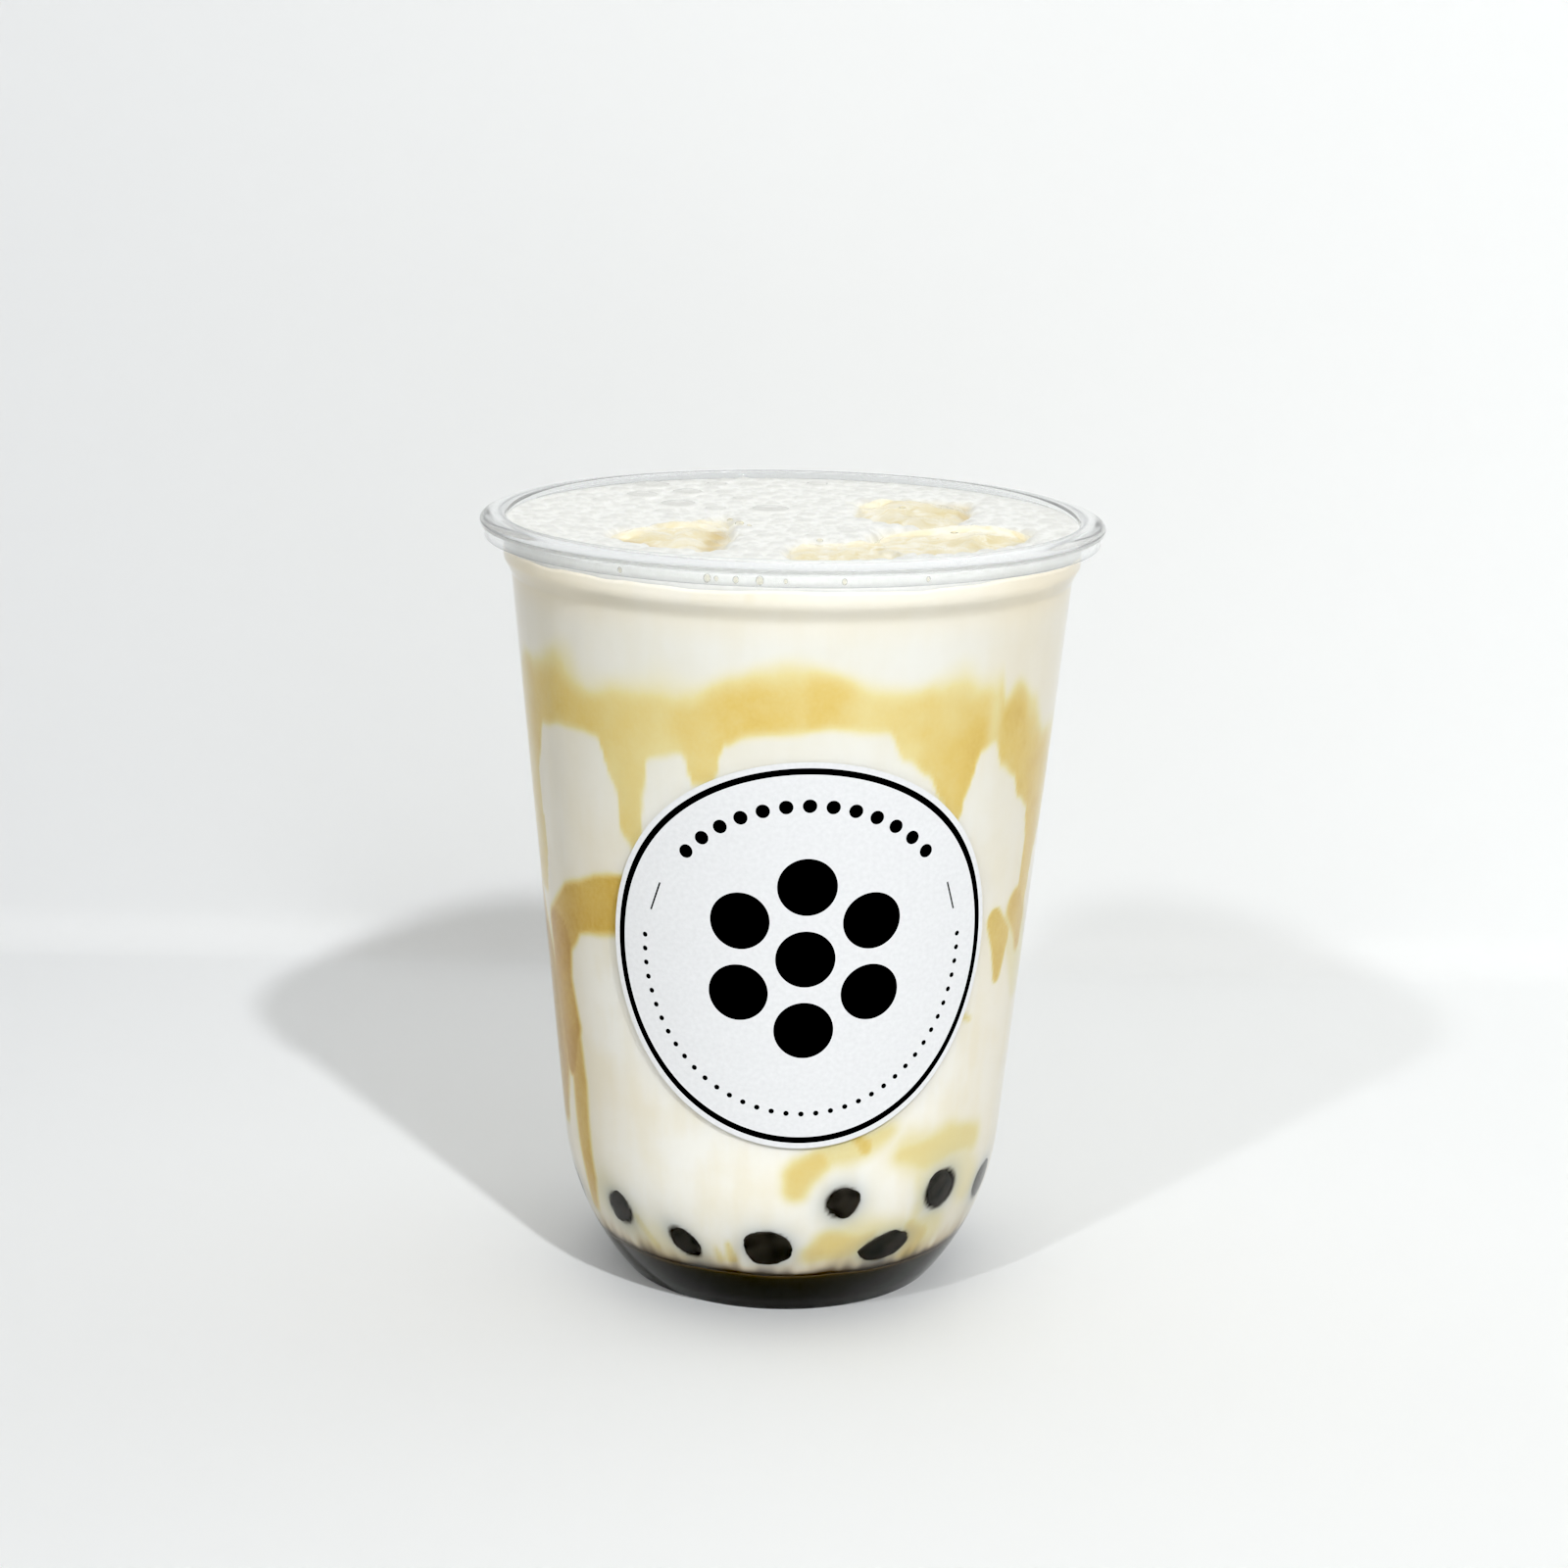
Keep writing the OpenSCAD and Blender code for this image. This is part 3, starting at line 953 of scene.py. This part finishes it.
def make_pearls():
    """All pearls as one mesh."""
    points, faces = [], []
    for turn, middle, half_width, half_height, tilt in PEARLS:
        cos, sin = math.cos(math.radians(tilt)), math.sin(math.radians(tilt))
        lumps = 1 + 0.16 * noise(BALL_POINTS, 0.8, middle + turn)
        lumps = lumps + 0.07 * noise(BALL_POINTS, 0.35, turn)
        local = BALL_POINTS * lumps[:, None]
        along = local[:, 0] * (half_width + PEARL_SPARE)
        over = local[:, 2] * (half_height + PEARL_SPARE)
        across = along * cos - over * sin
        up = along * sin + over * cos
        height = middle + up
        distance = wall_radius(height) + INTO_WALL - pearl_sink(half_width) + local[:, 1] * PEARL_DEPTH
        distance = np.minimum(distance, wall_radius(height) + PEARL_PRESS)
        azimuth = turn + np.degrees(across / wall_radius(middle))
        faces.append(BALL_FACES + len(points) * len(BALL_POINTS))
        points.append(place(distance, azimuth, height))
    mesh = bpy.data.meshes.new("pearls")
    mesh.from_pydata((np.concatenate(points) * MM).tolist(), [], np.concatenate(faces).tolist())
    mesh.shade_smooth()
    return finish_piece("pearls", mesh, tapioca())


make_pearls()

# %% [markdown]
# ## Froth
#
# The froth is milk with air shaken into it: bubbles from a few tenths of a millimetre up to six
# or seven, the largest at the back on the left. A bubble shows as a faint grey disc, because its
# thin skin lets the milk below show through, with a white rim where it meets its neighbours.
#
# The froth's top is a dense disc of rings. Every bubble lifts it into a low dome. The ice pushes
# the froth aside, so there the surface sinks into a hollow, which is milk rather than froth.

# %% List the ice and the bubbles
ICE = [
    # outline of each piece at the surface, (x, y) in mm, then how far it stands out of the froth
    (0.9, [(-10, 4), (-15, 0), (-21, -7), (-27, -12), (-27, -17),
           (-20, -25), (-13, -28), (-10, -26), (-9, -12)]),
    (1.0, [(10, 21), (21, 25), (29, 23), (28, 12), (25, 0), (19, -3), (12, 1), (9, 10)]),
    (0.9, [(14, -7), (22, -4), (33, -3), (37, -6), (33, -17), (26, -26), (18, -30), (11, -18)]),
    (0.8, [(-1, -24), (5, -17), (13, -18), (18, -29), (10, -35), (-1, -36)]),
]
AMBER_STREAKS = [
    # where syrup has drawn between the pieces: start, end and width in mm
    ((-12, -9), (-11.5, -27), 1.6), ((22, 22), (28, 23), 1.8), ((27, 20), (26, 12), 1.2),
    ((21, -25), (22, -24), 1.0), ((-24, -15), (-20, -20), 1.2), ((14, 3), (19, 0), 1.0),
]
BIG_BUBBLES = [
    # x, y and radius in mm
    (-23, 33, 3.6), (-17, 26, 3.0), (-24, 21.5, 3.2), (-18, 13, 3.4), (-30, 15.5, 2.0), (-25.5, 11, 1.6),
    (-8, 20, 2.2), (-3.5, 10, 3.6), (-37, 28, 2.6), (-12, 9.5, 2.2), (-7, 35.5, 2.2), (-12.5, 34.5, 2.4),
    (-33, 21, 1.8), (-4, 26, 1.8), (-11, 27, 2.0), (4, 37, 2.4), (-30, 8, 1.5), (-20, 6, 1.8), (-28, 28, 1.9),
]


print(len(ICE), "pieces of ice and", len(BIG_BUBBLES), "large bubbles")

# %% Shape the froth
BUBBLE_REACH = 42.5
BUBBLE_TRIES = ((1.1, 1.7, 900), (0.6, 1.0, 5200))
BUBBLE_SPACE = 0.92


def inside_distance(x, y, outline):
    """Distance in mm inside (positive) or outside (negative) of a closed outline."""
    closest = np.full(x.shape, 1e9)
    inside = np.zeros(x.shape, bool)
    for (ax, ay), (bx, by) in zip(outline, outline[1:] + outline[:1]):
        dx, dy = bx - ax, by - ay
        part = np.clip(((x - ax) * dx + (y - ay) * dy) / (dx * dx + dy * dy), 0, 1)
        closest = np.minimum(closest, np.hypot(x - ax - part * dx, y - ay - part * dy))
        crosses = (ay > y) != (by > y)
        with np.errstate(divide="ignore", invalid="ignore"):
            where = ax + (y - ay) * dx / dy
        inside ^= crosses & (x < where)
    return np.where(inside, closest, -closest)


def scatter_bubbles():
    """Small bubbles round the big ones: no two overlap by more than 8 % of their radii."""
    random = np.random.default_rng(5)
    chosen = [np.array(bubble) for bubble in BIG_BUBBLES]
    for radius_low, radius_high, tries in BUBBLE_TRIES:
        for _ in range(tries):
            radius = random.uniform(radius_low, radius_high)
            away = BUBBLE_REACH * math.sqrt(random.random())
            turn = random.uniform(0, 2 * math.pi)
            spot = np.array([away * math.cos(turn), away * math.sin(turn), radius])
            others = np.array(chosen)
            gap = np.hypot(others[:, 0] - spot[0], others[:, 1] - spot[1])
            if np.all(gap > (others[:, 2] + radius) * BUBBLE_SPACE):
                chosen.append(spot)
    return np.array(chosen)


BUBBLES = scatter_bubbles()
print(len(BUBBLES), "bubbles")


def froth_shape(x, y):
    """Height of the froth in mm above its level, and how much of each point is bubble film,
    hollow round the ice and amber syrup, from 0 to 1."""
    lift = np.zeros(x.shape)
    film_and_shade = np.zeros(x.shape)
    for bx, by, size in BUBBLES:
        near = (abs(x - bx) < size) & (abs(y - by) < size)
        share = np.hypot(x[near] - bx, y[near] - by) / size
        dome = np.sqrt(np.clip(1 - share**2, 0, 1))
        lift[near] = np.maximum(lift[near], dome * min(0.3 * size, 0.75))
        skin = eased(1 - share, 0.02, 0.3) * (0.55 + 0.45 * share**2) * min(1.0, 0.25 + size / 4)
        film_and_shade[near] = np.where(share < 1, np.maximum(film_and_shade[near], skin), film_and_shade[near])
    spots = np.stack([x, y, 0 * x], axis=-1)
    ragged = 1.6 * noise(spots, 3.5, 4.4) + 0.7 * noise(spots, 1.4, 1.7)
    hollow = np.zeros(x.shape)
    for _, outline in ICE:
        hollow = np.maximum(hollow, eased(inside_distance(x, y, outline) + ragged, -1.4, 3.0))
    amber = np.zeros(x.shape)
    for (ax, ay), (bx, by), size in AMBER_STREAKS:
        dx, dy = bx - ax, by - ay
        part = np.clip(((x - ax) * dx + (y - ay) * dy) / (dx * dx + dy * dy), 0, 1)
        away = np.hypot(x - ax - part * dx, y - ay - part * dy)
        amber = np.maximum(amber, np.exp(-((away / size) ** 2)))
    lift = lift * (1 - hollow) - 3.2 * hollow
    return lift, film_and_shade * (1 - hollow), hollow, amber


# %% [markdown]
# The froth's material reads how much of a point is bubble film, hollow or syrup; on the froth's side against
# the wall the same fact holds painted shade, greyer under the rim. Fine foam, too small for the mesh, is a
# Voronoi pattern with cells 0.9 mm wide: its cell borders are the white walls between bubbles.


# %% Make the froth
FOAM_CELL = 0.9


def froth_material():
    """Milk froth: white foam, faint grey bubble films, warm milk in the hollows round the ice, and painted
    grey shade on its side.
    """
    material, tree, out = new_material("milk_froth")
    where = add(tree, "ShaderNodeTexCoord").outputs["Object"]
    film_and_shade = add(tree, "ShaderNodeAttribute", {"attribute_name": "film_and_shade"}).outputs["Fac"]
    hollow = add(tree, "ShaderNodeAttribute", {"attribute_name": "hollow"}).outputs["Fac"]
    amber = add(tree, "ShaderNodeAttribute", {"attribute_name": "amber"}).outputs["Fac"]
    cells = add(
        tree, "ShaderNodeTexVoronoi", {"feature": "F1"},
        Vector=where, Scale=1 / (FOAM_CELL * MM),
    ).outputs["Distance"]
    foam = add(
        tree, "ShaderNodeValToRGB", Fac=cells,
        stops=[(0.0, "#f4f4ef"), (0.55, "#fafaf6"), (1.0, "#fefefc")],
    ).outputs["Color"]
    # grey for the bubble films, and the same grey as painted shade on the froth's side
    bubble = add(tree, "ShaderNodeMix", {"data_type": "RGBA"}, i0=film_and_shade, i6=foam, i7=linear("#d3d2cd"))
    swirl = add(
        tree, "ShaderNodeTexNoise", Vector=where, Scale=1 / (5 * MM), Detail=2.0, Distortion=1.6,
    )
    tea = add(
        tree, "ShaderNodeValToRGB", Fac=swirl.outputs["Fac"],
        stops=[(0.32, "#e6dbb6"), (0.5, "#efe9d4"), (0.64, "#faf8f1")],
    ).outputs["Color"]
    deep = add(tree, "ShaderNodeMix", {"data_type": "RGBA"}, i0=amber, i6=tea, i7=linear("#d8c48f"))
    pool = add(
        tree, "ShaderNodeMix", {"data_type": "RGBA"},
        i0=hollow, i6=bubble.outputs[2], i7=deep.outputs[2],
    )
    gloss = add(tree, "ShaderNodeMapRange", i0=film_and_shade, i3=0.5, i4=0.12)
    bump = add(
        tree, "ShaderNodeBump", {"invert": True}, Height=cells, Strength=0.15, Distance=0.2 * MM,
    )
    skin = add(
        tree, "ShaderNodeBsdfPrincipled",
        Base_Color=pool.outputs[2], Roughness=gloss.outputs[0], IOR=1.35, Specular_IOR_Level=0.35,
        Normal=bump.outputs["Normal"],
    )
    tree.links.new(skin.outputs[0], out.inputs["Surface"])
    return material


def make_froth():
    """The froth: a wavy side on the wall and a bubbly top."""
    side = np.linspace(0, 1, 8)[:, None]
    height = froth_line + side * (SURFACE - froth_line)
    radius = wall_radius(height) + INTO_WALL
    rings = np.linspace(1, 0.006, 110)[:, None]
    top_radius = rings * (wall_radius(SURFACE) + INTO_WALL) * np.ones((1, COLUMNS))
    spots = place(top_radius, azimuths[None, :], 0.0)
    lift, film_and_shade, hollow, amber = froth_shape(spots[..., 0], spots[..., 1])
    calm = eased(wall_radius(SURFACE) - top_radius, 0.0, 0.8)
    top_height = SURFACE + lift * calm + 0.15 * noise(spots, 8.0, 2.0) * calm
    climb = 0.35 * np.exp(-(wall_radius(SURFACE) - top_radius) / 0.9)
    top_height = top_height + np.clip(climb, 0, 0.35)
    under_radius = np.concatenate([[radius[0] * 0.3], [radius[0] - 3]])
    under_height = np.concatenate([[froth_line - 8], [froth_line - 6]])
    radius = np.concatenate([under_radius, radius[:-1], top_radius])
    height = np.concatenate([under_height, height[:-1], top_height])
    blank = np.full((len(radius) - len(film_and_shade), COLUMNS), 0.0)
    # the side against the wall is given half a film: painted shade, greyer under the rim
    facts = {
        name: np.concatenate([blank + side_value, table])
        for name, table, side_value in (("film_and_shade", film_and_shade, 0.5), ("hollow", hollow, 0), ("amber", amber, 0))
    }
    return turned("froth_body", radius, height, froth_material(), facts)


froth = make_froth()
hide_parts("froth")

# %% [markdown]
# ## Ice
#
# Ice from a machine is clear at its skin, and wet. Only the tops of a few pieces come through the
# froth. They look beige because the milk tea shows through them, and the lamps glint on their
# melted edges. Each piece is a low mound over its outline, with a few flat facets left from when
# it was a cube, and a body that goes down into the drink.


# %% Make the ice
MELT_LENGTH = 5


def ice_material():
    """Wet melting ice: clear, with melted dents 5 mm long, lit through like the cup."""
    material, tree, out = new_material("wet_ice")
    where = add(tree, "ShaderNodeTexCoord").outputs["Object"]
    melt = add(
        tree, "ShaderNodeTexNoise",
        Vector=where, Scale=1 / (MELT_LENGTH * MM), Detail=2.5, Distortion=0.6,
    ).outputs["Fac"]
    bump = add(tree, "ShaderNodeBump", Height=melt, Strength=0.5, Distance=1.2 * MM)
    ice = add(
        tree, "ShaderNodeBsdfPrincipled",
        Base_Color=linear("#f6f2e6"), Roughness=0.05, IOR=1.31,
        Transmission_Weight=1.0, Normal=bump.outputs["Normal"],
    )
    path = add(tree, "ShaderNodeLightPath")
    clear = add(tree, "ShaderNodeBsdfTransparent", Color=linear("#f8f6ee"))
    both = add(tree, "ShaderNodeMixShader", i0=path.outputs["Is Shadow Ray"],
               i1=ice.outputs[0], i2=clear.outputs[0])
    tree.links.new(both.outputs[0], out.inputs["Surface"])
    return material


def make_ice():
    """Every piece of ice, as closed mounds in one mesh."""
    points, faces = [], []
    start = 0
    random = np.random.default_rng(21)
    spokes, steps = 72, 14
    for stand, outline in ICE:
        middle = np.mean(outline, axis=0)
        turn = np.arange(spokes) * 2 * math.pi / spokes
        far = np.linspace(0.5, 40, 400)
        reach = np.empty(spokes)
        for i, angle in enumerate(turn):
            x, y = middle[0] + far * math.cos(angle), middle[1] + far * math.sin(angle)
            reach[i] = far[np.argmax(inside_distance(x, y, outline) < 0)]
        tilts = random.normal(0, 0.05, (4, 2))
        rows = []
        for step in range(1, steps + 1):
            share = step / steps
            x = middle[0] + reach * share * np.cos(turn)
            y = middle[1] + reach * share * np.sin(turn)
            beside = x - middle[0], y - middle[1]
            slopes = [0.15 * i + a * beside[0] + b * beside[1] for i, (a, b) in enumerate(tilts)]
            spots = np.stack([x, y, 0 * x], axis=-1)
            ridges = 0.5 - abs(noise(spots, 6.0, 6.1)) - 0.4 * abs(noise(spots, 2.4, 2.3))
            crown = stand - 0.3 + np.min(slopes, axis=0) + 1.1 * ridges
            z = SURFACE - 0.9 + (crown + 0.9) * (1 - share**4)
            rows.append(np.stack([x, y, z], axis=1))
        low = rows[-1].copy()
        low[:, 2] = SURFACE - 2.6
        rows.append(middle_pulled(low, middle, 0.97))
        deep = rows[-1].copy()
        deep[:, 2] = SURFACE - 6.0
        rows.append(middle_pulled(deep, middle, 0.8))
        rows = [np.array([[middle[0], middle[1], rows[0][:, 2].mean()]])] + rows
        rows.append(np.array([[middle[0], middle[1], SURFACE - 6.5]]))
        block = np.concatenate(rows)
        count = steps + 2
        here = np.arange(spokes)
        after = (here + 1) % spokes
        tris = [(start, start + 1 + a, start + 1 + b) for a, b in zip(here, after)]
        for ring in range(count - 1):
            low_i = start + 1 + ring * spokes
            high_i = low_i + spokes
            tris += [(low_i + a, high_i + a, high_i + b, low_i + b) for a, b in zip(here, after)]
        last = start + len(block) - 1
        tail = start + 1 + (count - 1) * spokes
        tris += [(tail + b, tail + a, last) for a, b in zip(here, after)]
        faces += [tuple(int(i) for i in face) for face in tris]
        points.append(block)
        start += len(block)
    points = np.concatenate(points)
    points[:, 2] = np.minimum(points[:, 2], RIM_TOP - 0.1)
    mesh = bpy.data.meshes.new("ice")
    mesh.from_pydata((points * MM).tolist(), [], faces)
    mesh.shade_smooth()
    mesh.set_sharp_from_angle(angle=math.radians(40))
    return finish_piece("ice", mesh, ice_material())


def middle_pulled(row, middle, share):
    """A row of points drawn in towards a middle."""
    row = row.copy()
    row[:, :2] = middle + (row[:, :2] - middle) * share
    return row


ice = make_ice()

# %% [markdown]
# ## Droplets
#
# Pouring and shaking leave small drops of melt water on the rim and on the ice. Each is a little
# dome, flattened against what it clings to. They share the ice's clear, wet material.

# %% Scatter the droplets
RIM_DROPS = [
    # azimuth and radius in mm
    (-14.5, 0.55), (-12.9, 0.35), (-9.5, 0.45), (-5.4, 0.6), (-1.0, 0.3), (9.0, 0.4), (24.0, 0.35),
    (-31, 0.4),
]
TOP_DROPS = [
    # x, y and radius in mm
    (-8, -6.5, 0.7), (-9.5, -3.5, 0.5), (-6.5, -8.5, 0.4), (4, -21, 0.5), (24, -12, 0.6), (17, 10, 0.5),
]
DROP_HEIGHT = 117.4
SKIRT_MIDDLE = 117.3


def make_droplets():
    """Drops on the outside of the rim's skirt and on the ice."""
    outer = max(radius for radius, height in cup_outline if abs(height - SKIRT_MIDDLE) < 1.0)
    points, faces = [], []
    small_points, small_faces = ball(2)
    for azimuth, size in RIM_DROPS:
        local = small_points * [size, size * 0.5, size * 1.2]
        turn = azimuth + np.degrees(local[:, 0] / outer)
        faces.append(small_faces + len(points) * len(small_points))
        points.append(place(outer - 0.05 + local[:, 1], turn, DROP_HEIGHT + local[:, 2]))
    for x, y, size in TOP_DROPS:
        local = small_points * [size, size, size * 0.6]
        faces.append(small_faces + len(points) * len(small_points))
        points.append(local + [x, y, SURFACE + 0.5])
    mesh = bpy.data.meshes.new("droplets")
    mesh.from_pydata((np.concatenate(points) * MM).tolist(), [], np.concatenate(faces).tolist())
    mesh.shade_smooth()
    return finish_piece("droplets", mesh, ice.data.materials[0])


make_droplets()

# %% [markdown]
# ## The label
#
# The label is a round sticker of coated paper, printed in black. Flat, it is a true disc of 60.4
# mm. On the cup's tapered wall it wraps round a cone, and a cone unrolls to a flat sector, so a
# point of the disc goes to the place where it would lie on that sector. The flat places are kept
# as the UV map, in which the print is drawn with plain arithmetic: a ring, dots along two arcs,
# two short dashes and seven large dots like a handful of pearls.

# %% Measure the cone that the label lies on
straight = cup_outline[(cup_outline[:, 1] > 24) & (cup_outline[:, 1] < 110.4)]
straight = straight[straight[:, 0] > wall_radius(straight[:, 1]) + 0.3]
(low_r, low_z), (high_r, high_z) = straight[0], straight[-1]
SLOPE = (high_r - low_r) / (high_z - low_z)
CONE_SIN = SLOPE / math.hypot(1, SLOPE)
LABEL_RADIUS = 30.2
label_wall = low_r + SLOPE * (LABEL_MIDDLE - low_z)
LABEL_TURN = 4.6
LABEL_THICK = 0.2
print(f"wall slope {SLOPE:.4f}, radius at the label {label_wall:.2f} mm")


# %% Cut and wrap the label
def wrap(across, up, lift):
    """Places on the wall, `lift` mm off it, of points given flat on the label, in mm."""
    middle = label_wall / CONE_SIN
    slant = np.hypot(across, middle + up)
    azimuth = LABEL_TURN + np.degrees(np.arctan2(across, middle + up) / CONE_SIN)
    radius = slant * CONE_SIN
    height = LABEL_MIDDLE + (radius - label_wall) / SLOPE
    return place(radius + lift, azimuth, height)


def make_label():
    """The sticker: a dense disc with a front, an edge and a back."""
    rings, spokes = 56, 240
    share = np.linspace(0.01, 1, rings)[:, None]
    turn = np.arange(spokes) * 2 * math.pi / spokes
    across = LABEL_RADIUS * share * np.sin(turn)
    up = LABEL_RADIUS * share * np.cos(turn)
    flat = np.stack([across, up, 0 * across], axis=-1)
    crease = noise(flat * [0.45, 1.6, 1], 4.5, 3.0) * eased(1 - share, 0.0, 0.12)
    lift = LABEL_THICK - 0.05 + 0.05 * crease
    front = wrap(across, up, lift)
    back = wrap(across[::-1], up[::-1], -0.02)
    points = np.concatenate([front, back]).reshape(-1, 3)
    uv = np.concatenate([flat, flat[::-1]]).reshape(-1, 3)[:, :2] / (2 * LABEL_RADIUS) + 0.5
    here = np.arange(spokes)
    after = (here + 1) % spokes
    faces = []
    for ring in range(2 * rings - 1):
        low = ring * spokes
        high = low + spokes
        faces += np.stack([low + here, high + here, high + after, low + after], axis=1).tolist()
    faces.append(here.tolist())
    faces.append(((2 * rings - 1) * spokes + here)[::-1].tolist())
    mesh = bpy.data.meshes.new("label")
    mesh.from_pydata((points * MM).tolist(), [], faces)
    layer = mesh.uv_layers.new(name="flat")
    corners = np.array([loop.vertex_index for loop in mesh.loops])
    layer.data.foreach_set("uv", uv[corners].astype(np.float32).reshape(-1))
    mesh.shade_smooth()
    mesh.set_sharp_from_angle(angle=math.radians(50))
    return finish_piece("paper_label", mesh, label_material())


# %% [markdown]
# The print is ink on coated paper. Each shape is a mask that is 1 on ink and 0 on paper. A row of
# dots along an arc is one dot repeated: Ping-Pong folds the angle round the label back and forth,
# so that it becomes the angle to the nearest dot. A dash is drawn in its own turned coordinates.

# %% Draw the print
RING_RADIUS = 28.85
RING_WIDTH = 1.0
PRINT_EDGE = 0.06
PEARL_DOT = 4.4
PEARL_CIRCLE = 11.2
ARCS = [
    # middle in degrees, radius, step between dots and radius of a dot in mm, number of dots
    (0, 23.6, 3.4, 1.05, 13),
    (180, 24.6, 2.2, 0.42, 37),
]
DASHES = [(-72, 24.0), (72, 24.0)]
DASH_HALF = (2.4, 0.16)


def label_material():
    """Coated white paper with black print in plain shapes."""
    material, tree, out = new_material("coated_paper")
    flat = add(tree, "ShaderNodeUVMap", {"uv_map": "flat"}).outputs[0]
    spread = (2 * LABEL_RADIUS, 2 * LABEL_RADIUS, 0)
    spot = add(
        tree, "ShaderNodeVectorMath", {"operation": "MULTIPLY_ADD"},
        i0=flat, i1=spread, i2=(-LABEL_RADIUS, -LABEL_RADIUS, 0),
    ).outputs[0]
    parts = add(tree, "ShaderNodeSeparateXYZ", i0=spot).outputs
    away = add(tree, "ShaderNodeVectorMath", {"operation": "LENGTH"}, i0=spot).outputs["Value"]
    angle = add(tree, "ShaderNodeMath", {"operation": "ARCTAN2"}, i0=parts["X"], i1=parts["Y"]).outputs[0]

    def inked(distance, size):
        """1 where distance is under size and 0 beyond, with a soft printed edge."""
        return add(tree, "ShaderNodeMapRange", i0=distance, i1=size, i2=size - PRINT_EDGE).outputs[0]

    # the ring
    off_ring = add(tree, "ShaderNodeMath", {"operation": "SUBTRACT"}, i0=away, i1=RING_RADIUS)
    off_ring = add(tree, "ShaderNodeMath", {"operation": "ABSOLUTE"}, i0=off_ring.outputs[0])
    shapes = [inked(off_ring.outputs[0], RING_WIDTH / 2)]
    # a cluster of seven dots
    middles = [(0.0, 0.0, 0.0)]
    for turn in np.radians(range(0, 360, 60)):
        middles.append((PEARL_CIRCLE * math.sin(turn), PEARL_CIRCLE * math.cos(turn), 0.0))
    for middle in middles:
        gap = add(tree, "ShaderNodeVectorMath", {"operation": "DISTANCE"}, i0=spot, i1=middle)
        shapes.append(inked(gap.outputs["Value"], PEARL_DOT))
    # rows of dots along two arcs
    for middle, arc_radius, pitch, dot_radius, count in ARCS:
        step = pitch / arc_radius
        turned_by = add(tree, "ShaderNodeMath", {"operation": "SUBTRACT"}, i0=angle, i1=math.radians(middle))
        turned_by = add(
            tree, "ShaderNodeMath", {"operation": "WRAP"}, i0=turned_by.outputs[0], i1=math.pi, i2=-math.pi,
        ).outputs[0]
        folded = add(tree, "ShaderNodeMath", {"operation": "PINGPONG"}, i0=turned_by, i1=step / 2)
        off = add(tree, "ShaderNodeMath", {"operation": "MULTIPLY"}, i0=folded.outputs[0], i1=arc_radius)
        out_by = add(tree, "ShaderNodeMath", {"operation": "SUBTRACT"}, i0=away, i1=arc_radius)
        gap = add(tree, "ShaderNodeCombineXYZ", i0=off.outputs[0], i1=out_by.outputs[0])
        gap = add(tree, "ShaderNodeVectorMath", {"operation": "LENGTH"}, i0=gap.outputs[0])
        width = add(tree, "ShaderNodeMath", {"operation": "ABSOLUTE"}, i0=turned_by)
        within = add(
            tree, "ShaderNodeMath", {"operation": "LESS_THAN"}, i0=width.outputs[0], i1=count * step / 2,
        )
        shapes.append(add(
            tree, "ShaderNodeMath", {"operation": "MULTIPLY"},
            i0=inked(gap.outputs["Value"], dot_radius), i1=within.outputs[0],
        ).outputs[0])
    # short dashes
    for turn, dash_radius in DASHES:
        turn = math.radians(turn)
        middle = (dash_radius * math.sin(turn), dash_radius * math.cos(turn), 0.0)
        own = add(
            tree, "ShaderNodeMapping", {"vector_type": "TEXTURE"},
            Vector=spot, Location=middle, Rotation=(0.0, 0.0, -turn),
        )
        own = add(tree, "ShaderNodeVectorMath", {"operation": "ABSOLUTE"}, i0=own.outputs[0])
        own = add(tree, "ShaderNodeSeparateXYZ", i0=own.outputs[0]).outputs
        shapes.append(add(
            tree, "ShaderNodeMath", {"operation": "MULTIPLY"},
            i0=inked(own["X"], DASH_HALF[0]), i1=inked(own["Y"], DASH_HALF[1]),
        ).outputs[0])
    ink = shapes[0]
    for shape in shapes[1:]:
        ink = add(tree, "ShaderNodeMath", {"operation": "MAXIMUM"}, i0=ink, i1=shape).outputs[0]
    # paper fibres are drawn coarser than they are, 0.7 mm instead of 0.05 mm, so that they show
    fibre = add(tree, "ShaderNodeTexNoise", Vector=flat, Scale=90.0, Detail=3.0).outputs["Fac"]
    paper = add(
        tree, "ShaderNodeValToRGB", Fac=fibre, stops=[(0.3, "#eeeff1"), (0.7, "#f5f6f8")],
    ).outputs["Color"]
    colour = add(
        tree, "ShaderNodeMix", {"data_type": "RGBA"}, i0=ink, i6=paper, i7=linear("#060606"),
    ).outputs[2]
    bump = add(tree, "ShaderNodeBump", Height=fibre, Strength=0.08, Distance=0.1 * MM)
    skin = add(
        tree, "ShaderNodeBsdfPrincipled",
        Base_Color=colour, Roughness=0.5, IOR=1.5, Specular_IOR_Level=0.04,
        Normal=bump.outputs["Normal"],
    )
    tree.links.new(skin.outputs[0], out.inputs["Surface"])
    return material


label = make_label()
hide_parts("label")
